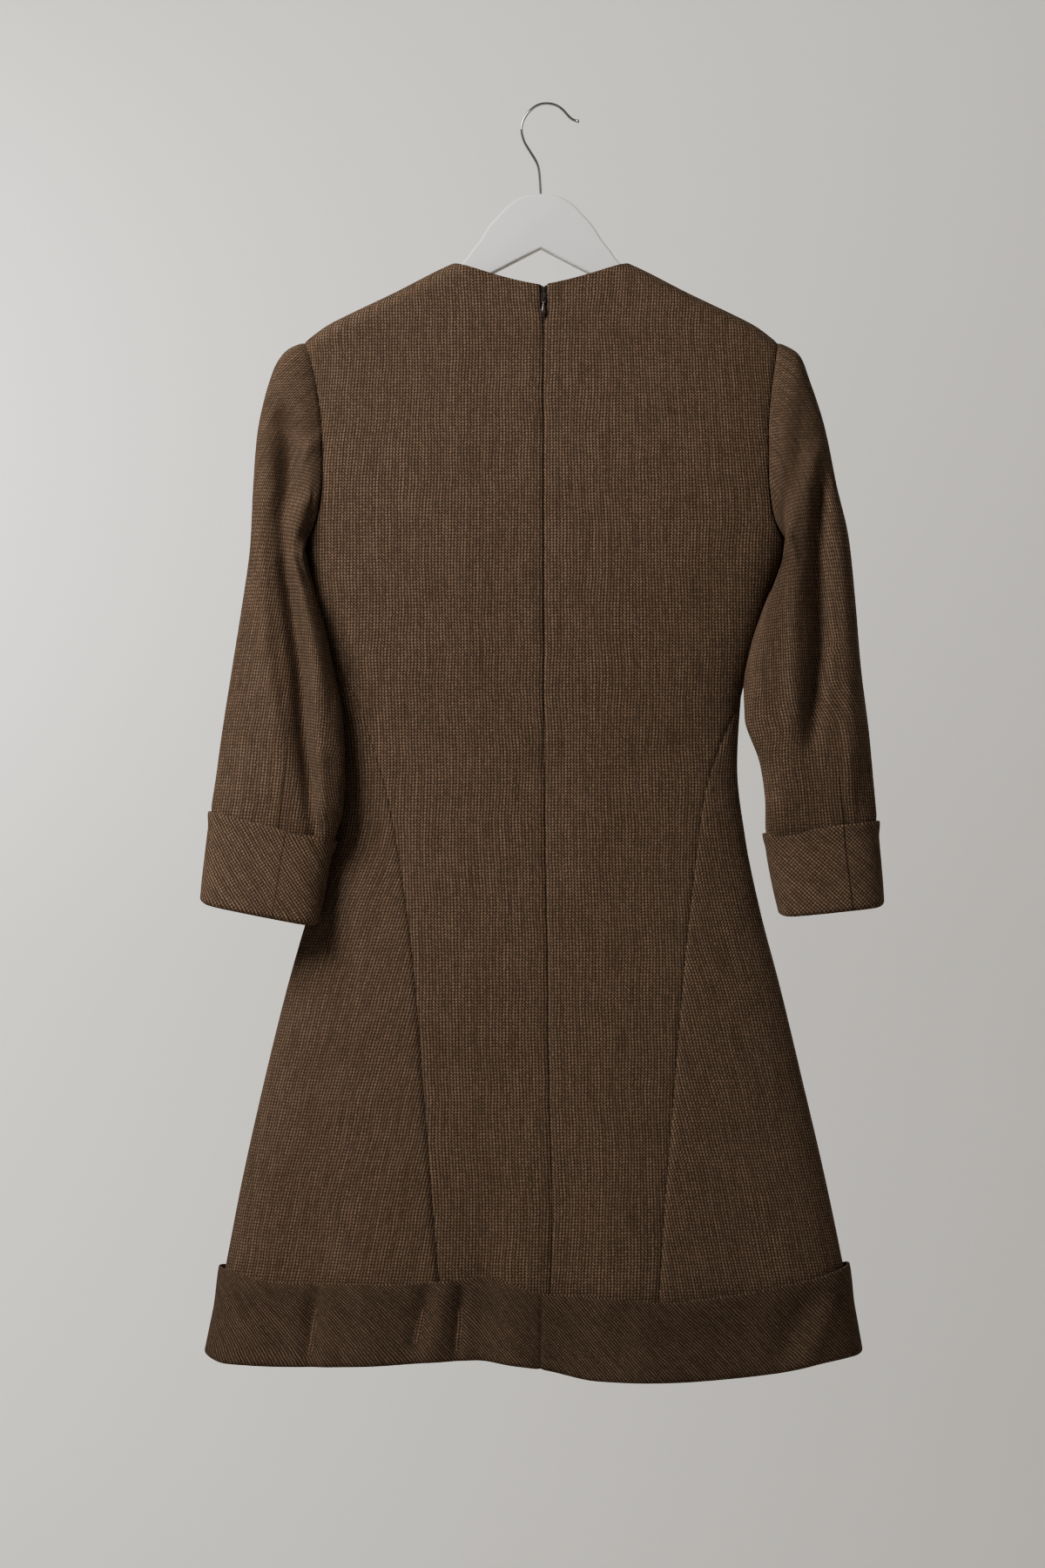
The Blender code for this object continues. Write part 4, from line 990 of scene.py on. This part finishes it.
def zip_tape(hand, word, material):
    """A strip of dark tape behind a back panel's folded edge."""
    drops = blend(ZIP_TOP_DROP, ZIP_TOP_DROP + ZIP_LENGTH, np.linspace(0, 1, 180) ** 1.3)[:, None]
    inner = 0.02 + TAPE_FLARE * np.exp(-(drops - ZIP_TOP_DROP) / TAPE_FLARE_DROP)
    across = column(CENTRE_BACK, "x", drops) + hand * blend(inner, TAPE_WIDTH, np.linspace(0, 1, 8))
    drops = np.broadcast_to(drops, across.shape)
    behind = -CLOTH - SEAM_GAP - TAPE_BEHIND
    points, normals = body_point(angle_at(across, drops, BACK), drops, out=behind)
    uv = np.stack([lengths_across(points, 0), -drops * MM], axis=-1)
    return shell("zip_tape_" + word + "_cloth", points, normals, uv, material, thickness=TAPE_THICKNESS)


def tube(name, path, side, radii, material, sides=10, body="dress"):
    """A round wire along a path: rings of points, with a face over each end.

    side is a unit vector at each point of the path that isn't along it.
    """
    along = unit(np.gradient(path, axis=0))
    across = unit(side - along * (side * along).sum(axis=-1, keepdims=True))
    third = np.cross(along, across)
    turns = np.linspace(0, 2 * HALF_TURN, sides, endpoint=False)[:, None]
    rings = path[:, None] + radii[:, None, None] * (
        across[:, None] * np.cos(turns) + third[:, None] * np.sin(turns)
    )
    return make_mesh(name, rings.reshape(-1, 3), ring_faces(len(path), sides), material, body=body)


def zip_coil(hand, word, material):
    """The zip's teeth: a wire wound in a long flat coil, which meshes with the other tape's."""
    turns = int(ZIP_LENGTH / COIL_PITCH)
    phase = np.linspace(0, turns * 2 * HALF_TURN, turns * 8 + 1)
    drops = ZIP_TOP_DROP + 1 + phase / (2 * HALF_TURN) * COIL_PITCH * (ZIP_LENGTH - 4) / ZIP_LENGTH
    drops += hand * COIL_PITCH / 4
    x = column(CENTRE_BACK, "x", drops) + hand * (COIL_MIDDLE + COIL_REACH * np.cos(phase))
    height = -CLOTH - 0.1 + COIL_HALF_DEPTH * np.sin(phase)
    points = body_point(angle_at(x, drops, BACK), drops, out=height)[0]
    side = np.tile([0.0, 1.0, 0.0], (len(points), 1))
    return tube("zip_coil_" + word, points, side, np.full(len(points), COIL_WIRE), material, sides=5)


def pull_tab(material):
    """The zip's pull tab: a domed drop, and the wire loop at its top that goes round the bridge.

    Along the tab the drop's half width is a smooth curve through its table. Across it, the outer
    side is half an ellipse of the dome's height and the inner side one of half the bar's.
    """
    x, y, z = frame["record"]["behaviour"]["joints"][0]["pos_m"]
    axis = np.array([x, y, z]) / MM
    places = np.array([TAB_AXIS_DROP, TAB_AXIS_DROP + TAB["length"]])
    start, end = body_point(angle_at(axis[0], places, BACK), places)[0]
    down = unit((end - start) * (0, 1, 1))
    out = np.array([0.0, down[2], -down[1]])
    along = blend(TAB_DROP_SHAPE["along"][0], TAB_DROP_SHAPE["along"][-1], tight_ends(40, 0.8))[:, None]
    half = column(TAB_DROP_SHAPE, "half", along, key="along")
    turn = np.linspace(0, 2 * HALF_TURN, 28, endpoint=False)
    rise = np.where(np.sin(turn) > 0, TAB["dome"] * half / TAB["widest_half"], TAB["bar"] / 2)
    sideways = half * np.cos(turn)
    points = axis + sideways[..., None] * (1, 0, 0) + along[..., None] * down
    points = points + (rise * np.sin(turn))[..., None] * out
    faces = ring_faces(*points.shape[:2])
    drop = make_mesh("pull_tab_drop", points.reshape(-1, 3), faces, material, body="pull_tab")

    reach = TAB["neck_half"] - TAB["bar"] / 2
    legs = np.linspace(0.4, 4.2, 20)
    right = np.stack([blend(reach, 0.5, step_up((legs - 2.4) / 1.6)), legs], axis=1)
    turn = np.linspace(0, HALF_TURN, 27)[1:-1]
    bar = np.stack([reach * power(np.cos(turn), 0.5), 0.35 - 0.35 * np.sin(turn) ** 0.5], axis=1)
    route = np.concatenate([right[::-1], bar, right * (-1, 1)])
    path = axis + route[:, :1] * (1, 0, 0) + route[:, 1:] * down
    side = np.tile(out, (len(path), 1))
    loop = tube("pull_tab_loop", path, side, np.full(len(path), LOOP_WIRE), material, body="pull_tab")
    return drop


def hanger_outline():
    """The hanger's outline: the arch's top, the arm, its round end and the slanted underside."""
    arch_out = np.linspace(0, HANGER_TOP["out"][-1], 40)
    arch = np.stack([arch_out, -column(HANGER_TOP, "drop", arch_out, key="out")], axis=1)
    arm_out = np.linspace(HANGER_TOP["out"][-1] + 6, HANGER_ARM_END, 24)
    arm = np.stack([arm_out, -shoulder_drop(SHOULDER_CENTRE + arm_out) - HANGER_BELOW_SHOULDER], axis=1)
    slope = math.atan(HANGER_UNDERSIDE_SLOPE)
    radius = HANGER_END_HEIGHT / 2
    middle = arm[-1] - radius * np.array([math.sin(slope), math.cos(slope)])
    turn = np.radians(np.linspace(78, -90, 22)) - slope
    end = middle + radius * np.stack([np.cos(turn), np.sin(turn)], axis=1)
    under_turn = np.linspace(0, 1, 14)[1:-1, None]
    notch = np.array([0.0, -HANGER_NOTCH_DROP])
    under = blend(end[-1], notch, under_turn)
    half = np.concatenate([arch, arm, end, under])
    left = half[:0:-1] * (-1, 1)
    return np.concatenate([half, notch[None], left]) + (SHOULDER_CENTRE, 0)


def hanger(material):
    """A flat board with rounded edges: its outline is moved inwards by r(1 - cos t) at r sin t."""
    outline = hanger_outline()
    along = unit(np.roll(outline, -1, axis=0) - np.roll(outline, 1, axis=0))
    inwards = np.stack([along[:, 1], -along[:, 0]], axis=1)
    turns = np.linspace(0, HALF_TURN / 2, 7)
    inset = HANGER_EDGE_ROUND * (1 - np.cos(turns))
    depth = HANGER_THICKNESS / 2 - HANGER_EDGE_ROUND + HANGER_EDGE_ROUND * np.sin(turns)
    inset = np.concatenate([inset[::-1], inset])
    depth = np.concatenate([-depth[::-1], depth])
    flat = outline + inwards * inset[:, None, None]
    y = np.broadcast_to(depth[:, None], flat.shape[:2])
    points = np.stack([flat[..., 0], y, flat[..., 1]], axis=-1)
    board = make_mesh("hanger_board", points.reshape(-1, 3), ring_faces(*y.shape), material)
    board.data.set_sharp_from_angle(angle=math.radians(50))
    return board


def hanger_hook(material):
    """A bent wire with a small knob at its tip, on a smooth curve through its route."""
    route = np.array(HOOK_ROUTE)
    along = np.concatenate([[0], np.cumsum(np.linalg.norm(np.diff(route, axis=0), axis=1))])
    at = np.linspace(0, along[-1], 220)
    path = np.stack([smooth(at, along, route[:, 0]), 0 * at, smooth(at, along, route[:, 1])], axis=1)
    for _ in range(60):
        path[1:-1] = (path[:-2] + 2 * path[1:-1] + path[2:]) / 4
    radius = WIRE_DIAMETER / 2
    from_tip = along[-1] - at
    across = np.clip(1 - ((from_tip - KNOB["from_tip"]) / KNOB["half_length"]) ** 2, 0, 1)
    knob = radius * KNOB["girth"] * np.sqrt(across)
    wire = np.where(from_tip > KNOB["from_tip"], radius, 0)
    radii = np.maximum(np.maximum(wire, knob), 0.05)
    side = np.tile([0.0, 1.0, 0.0], (len(path), 1))
    return tube("hook_wire", path, side, radii, material, sides=18)


def arithmetic(operation):
    """A method of Value that adds a Math node for an operation."""
    return lambda value, other: value.maths(operation, other)


class Value:
    """A shader socket that takes + - * / and powers, and adds the Math nodes for them."""

    def __init__(self, finish, socket):
        self.finish, self.socket = finish, socket

    def maths(self, operation, *others):
        return self.finish.node("ShaderNodeMath", {"operation": operation}, self, *others)

    def __rsub__(self, other):
        return self.finish.node("ShaderNodeMath", {"operation": "SUBTRACT"}, other, self)

    __add__ = __radd__ = arithmetic("ADD")
    __sub__ = arithmetic("SUBTRACT")
    __mul__ = __rmul__ = arithmetic("MULTIPLY")
    __truediv__ = arithmetic("DIVIDE")
    __pow__ = arithmetic("POWER")


class Finish:
    """A material, with one method that adds any node and one that mixes colours."""

    def __init__(self, name, colour=(0.5, 0.5, 0.5), roughness=0.5, metallic=0.0, **settings):
        self.material = bpy.data.materials.new(name)
        self.material.use_nodes = True
        self.tree = self.material.node_tree
        self.shader = self.tree.nodes["Principled BSDF"]
        self.shader.inputs["Base Color"].default_value = (*colour, 1)
        self.shader.inputs["Roughness"].default_value = roughness
        self.shader.inputs["Metallic"].default_value = metallic
        for socket, value in settings.items():
            self.shader.inputs[socket.replace("_", " ")].default_value = value

    def node(self, kind, settings, *inputs, output=0, **named):
        node = self.tree.nodes.new(kind)
        for name, value in settings.items():
            setattr(node, name, value)
        for key, value in list(enumerate(inputs)) + list(named.items()):
            self.plug(node.inputs[key], value)
        return Value(self, node.outputs[output])

    def plug(self, socket, value):
        if isinstance(value, Value):
            self.tree.links.new(value.socket, socket)
        else:
            socket.default_value = value

    def mix(self, a, b, factor, blend_type="MIX"):
        node = self.tree.nodes.new("ShaderNodeMix")
        node.data_type = "RGBA"
        node.blend_type = blend_type
        for index, value in ((0, factor), (6, a), (7, b)):
            self.plug(node.inputs[index], value if isinstance(value, (Value, float)) else (*value, 1))
        return Value(self, node.outputs[2])

    def noise(self, vector, scale, detail=2.0, output=0):
        return self.node(
            "ShaderNodeTexNoise", {}, output=output, Vector=vector, Scale=scale, Detail=detail
        )

    def split(self, vector):
        node = self.tree.nodes.new("ShaderNodeSeparateXYZ")
        self.plug(node.inputs[0], vector)
        return tuple(Value(self, output) for output in node.outputs)

    def join(self, x, y, z=0.0):
        return self.node("ShaderNodeCombineXYZ", {}, x, y, z)

    def spot(self):
        """The place on the piece itself, in metres."""
        return self.node("ShaderNodeTexCoord", {}, output=3)

    def soft_step(self, value, low, high):
        return self.node(
            "ShaderNodeMapRange", {"interpolation_type": "SMOOTHSTEP"}, value, low, high, 0.0, 1.0
        )

    def bump(self, height, distance, strength=1.0):
        normal = self.node("ShaderNodeBump", {}, Strength=strength, Distance=distance, Height=height)
        self.plug(self.shader.inputs["Normal"], normal)


def wool(name, turn=0.0, tone=1.0, lean=35.0, dashes=0.49, pitch=1.0, seam=0.0):
    """Coarse wool: light slubs on a dark ground, in columns of slanted dashes and of round dots.

    turn lays the columns at an angle, in degrees to the right of upright. dashes is the share of
    the columns with dashes, which lean to the left by lean degrees, tone scales the colours and
    pitch the weave. seam is the darkness of a sewn line down u = 0 where v is below 0. The map is
    in metres. A slub is where (along / a)^2 + (across / b)^2, with a and b its half sizes, is low.
    """
    dark, light = (tuple(v * tone for v in colour) for colour in (WOOL_DARK, WOOL_LIGHT))
    finish = Finish(name, roughness=0.97, Specular_IOR_Level=0.12)
    place = finish.node("ShaderNodeUVMap", {"uv_map": "weave"})
    slow = finish.noise(place, 14.0)
    quick = finish.noise(place, 230.0)
    flat_u, flat_v, _ = finish.split(place)
    u = flat_u * 1000 + (slow - 0.5) * 7 + (quick - 0.5) * 0.9
    v = flat_v * 1000 + (quick - 0.5) * 1.1
    c, s = math.cos(math.radians(turn)) / pitch, math.sin(math.radians(turn)) / pitch
    u, v = u * c - v * s, u * s + v * c
    columns, rows = u / CELL_WIDTH, v / CELL_HEIGHT
    number = columns.maths("FLOOR")
    streak = finish.node("ShaderNodeTexWhiteNoise", {"noise_dimensions": "1D"}, W=number)
    drift = finish.noise(finish.join(u / 2.9, v / 34), 1.0)
    cloud = finish.noise(place, 38.0)
    row = rows.maths("FLOOR")
    x = (columns - number - 0.5) * CELL_WIDTH
    y = (rows - row - 0.5) * CELL_HEIGHT
    cell = finish.join(number, row)
    chance = finish.node("ShaderNodeTexWhiteNoise", {"noise_dimensions": "2D"}, Vector=cell)
    tint = finish.node("ShaderNodeTexWhiteNoise", {"noise_dimensions": "2D"}, Vector=cell, output=1)
    lean = math.radians(lean)
    along = y * math.cos(lean) - x * math.sin(lean)
    across = x * math.cos(lean) + y * math.sin(lean)
    dash = ((along / DASH[0]) ** 2 + (across / DASH[1]) ** 2) ** 0.5
    dot = ((x / DOT[0]) ** 2 + (y / DOT[1]) ** 2) ** 0.5
    pair = (number / 4).maths("FRACT").maths("LESS_THAN", dashes)
    blob = dash * pair + dot * (1 - pair)
    fibre = finish.noise(place, 2600.0, detail=1.0)
    slub = 1 - finish.soft_step(blob + (fibre - 0.5) * 0.8, 0.45, 1.3)
    bright = slub * (0.62 + chance * 0.45) * (0.88 + streak * 0.24) + 0.03
    bright = bright * (1 + (drift - 0.5) * 1.5) * (1 + (cloud - 0.5) * 0.5)
    colour = finish.mix(dark, light, bright)
    colour = finish.mix(colour, finish.mix((0.5, 0.5, 0.5), tint, 0.03), 1.0, "OVERLAY")
    height = slub * 0.7 + fibre * 0.4
    if seam:
        line = (0 - (flat_u * 1000 / SEAM_WIDTH) ** 2).maths("EXPONENT")
        line = line * flat_v.maths("LESS_THAN", 0.0)
        stitch = (flat_v * 1000 / STITCH_PITCH).maths("FRACT").maths("LESS_THAN", 0.55)
        line = line * (0.55 + stitch * 0.45)
        colour = finish.mix(colour, SEAM_SHADE, line * seam)
        height = height - line * 1.9 * seam
    finish.plug(finish.shader.inputs["Base Color"], colour)
    finish.bump(height, 0.0006)
    return finish.material


def plain_finishes():
    """The zip's tape, coil and enamel, the hanger's lacquer and the hook's chrome."""
    tape = Finish("zip_tape_weave", (0.016, 0.012, 0.011), 0.85)
    place = tape.node("ShaderNodeUVMap", {"uv_map": "weave"})
    ribs = tape.node("ShaderNodeTexWave", {"bands_direction": "DIAGONAL"}, Vector=place, Scale=420.0)
    tape.bump(ribs, 0.0002)
    coil = Finish("coil_nylon", (0.030, 0.020, 0.016), 0.35)
    slider = Finish("slider_enamel", (0.040, 0.028, 0.027), 0.24, metallic=0.35)
    spot = slider.spot()
    slider.bump(slider.noise(spot, 900.0), 0.00004)
    lacquer = Finish("hanger_lacquer", (0.86, 0.85, 0.83), 0.45, Coat_Weight=0.15, Coat_Roughness=0.3)
    spot = lacquer.spot()
    lacquer.bump(lacquer.noise(spot, 60.0) + lacquer.noise(spot, 700.0) * 0.15, 0.0003)
    chrome = Finish("hook_chrome", (0.50, 0.50, 0.51), 0.10, metallic=1.0)
    spot = chrome.spot()
    chrome.bump(chrome.noise(spot, 500.0), 0.00003)
    return (f.material for f in (tape, coil, slider, lacquer, chrome))


def stage_and_light():
    """A plain pale floor that turns up all round into a far wall, soft lights and the camera."""
    ground = Finish("pale_ground", (0.72, 0.70, 0.665), 0.95)
    spot = ground.spot()
    ground.bump(ground.noise(spot, 40.0), 0.0005)
    turn = np.linspace(0, HALF_TURN / 2, 12)
    profile = np.concatenate(
        [
            [[0.001, FLOOR], [3.0, FLOOR]],
            np.stack([3.4 + 1.2 * np.sin(turn), FLOOR + 1.2 - 1.2 * np.cos(turn)], axis=1),
            [[4.6, 1.2], [4.6, 3.2]],
        ]
    )
    round_it = np.linspace(0, 2 * HALF_TURN, 96, endpoint=False)[:, None]
    x, y = profile[:, 0] * np.cos(round_it), profile[:, 0] * np.sin(round_it)
    points = np.stack([x, y, np.broadcast_to(profile[:, 1], x.shape)], axis=-1)
    number = np.arange(x.size).reshape(x.shape)
    faces = corners(np.concatenate([number, number[:1]]))[..., [0, 3, 2, 1]]
    mesh = bpy.data.meshes.new("floor")
    mesh.from_pydata(points.reshape(-1, 3).tolist(), [], faces.reshape(-1, 4).tolist())
    mesh.shade_smooth()
    mesh.materials.append(ground.material)
    add_object("floor", mesh)

    for name, place, aim, size, power_w, colour in (
        ("key", (-1.22, -1.12, 0.72), (0, 0, -0.55), (0.9, 0.9), 56, (1.0, 0.985, 0.96)),
        ("fill", (1.2, -3.0, -0.2), (0, 0, -0.6), (2.0, 2.0), 4, (0.96, 0.98, 1.0)),
        ("behind", (1.6, 2.4, 0.6), (0, 0, -0.6), (1.6, 1.6), 18, (1.0, 0.99, 0.97)),
        ("backdrop_left", (-1.7, 3.2, 0.2), (-1.2, 4.5, 0.0), (0.8, 1.4), 48, (1.0, 0.985, 0.96)),
        ("backdrop_low", (-1.7, 2.8, -0.9), (-1.2, 4.5, -1.0), (0.8, 1.2), 11, (1.0, 0.985, 0.96)),
        ("backdrop_top", (0.0, 2.6, 1.6), (-0.2, 4.6, 0.2), (1.6, 0.8), 31, (1.0, 0.985, 0.96)),
    ):
        lamp = bpy.data.lights.new(name, "AREA")
        lamp.shape, lamp.size, lamp.size_y = "RECTANGLE", *size
        lamp.energy, lamp.color = power_w, colour
        thing = add_object(name, lamp)
        thing.location = place
        thing.rotation_euler = (Vector(aim) - Vector(place)).to_track_quat("-Z", "Y").to_euler()
        thing.visible_camera = False

    world = bpy.data.worlds.new("studio")
    bpy.context.scene.world = world
    world.use_nodes = True
    world.node_tree.nodes["Background"].inputs["Color"].default_value = (1.0, 0.985, 0.96, 1)
    world.node_tree.nodes["Background"].inputs["Strength"].default_value = 0.03

    camera = bpy.data.cameras.new("camera")
    camera.sensor_fit, camera.sensor_height = "VERTICAL", 24.0
    camera.lens = camera.sensor_height * CAMERA_DISTANCE / VIEW_HEIGHT
    thing = add_object("camera", camera)
    thing.location = (VIEW_MIDDLE[0], -CAMERA_DISTANCE, VIEW_MIDDLE[1])
    thing.rotation_euler = (HALF_TURN / 2, 0, 0)
    bpy.context.scene.camera = thing


def main():
    """Makes every piece, hides the part that each one stands in for, and lights it."""
    brown = wool("brown_wool")
    sleeves = wool("brown_wool_sleeve", seam=0.85)
    # The left cuff's colours are raised by a tone of 1.12 over the right cuff's: painted light on the
    # cuff on the side the key lamp comes from.
    cuff_left_wool = wool("brown_wool_cuff_left", -42, 1.12, lean=6, dashes=0.49, pitch=0.94, seam=0.4)
    cuff_right_wool = wool("brown_wool_cuff_right", 42, dashes=0.0, pitch=0.94, seam=0.85)
    # The hem bands' colours are lowered by a tone of 0.78: partly the bias-cut weave's own darker look,
    # partly painted shade of the band lying low and turned down away from the key lamp.
    bands = wool("brown_wool_band", -43, 0.78, lean=6, dashes=0.6, pitch=0.82)
    tape, coil, enamel, lacquer, chrome = plain_finishes()

    made = {}
    for hand, word in ((LEFT, "left"), (RIGHT, "right")):
        bias = cuff_left_wool if hand == LEFT else cuff_right_wool
        made["back_" + word] = back_panel(hand, word, brown)
        made["side_" + word] = side_panel(hand, word, brown)
        made["sleeve_" + word] = sleeve(hand, word, sleeves)
        made["cuff_" + word] = cuff(hand, word, bias)
        made["hem_band_" + word] = hem_band(hand, word, bands)
        made["zip_tape_" + word] = zip_tape(hand, word, tape)
        zip_coil(hand, word, coil)
    made["front"] = front_panel(brown)
    made["hanger"] = hanger(lacquer)
    made["hanger_hook"] = hanger_hook(chrome)
    made["zip_pull_tab"] = pull_tab(enamel)

    for node, piece in made.items():
        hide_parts(node)
    for holder in frame["nodes"]["zip_slider"].material_slots:
        holder.material = enamel

    stage_and_light()


main()
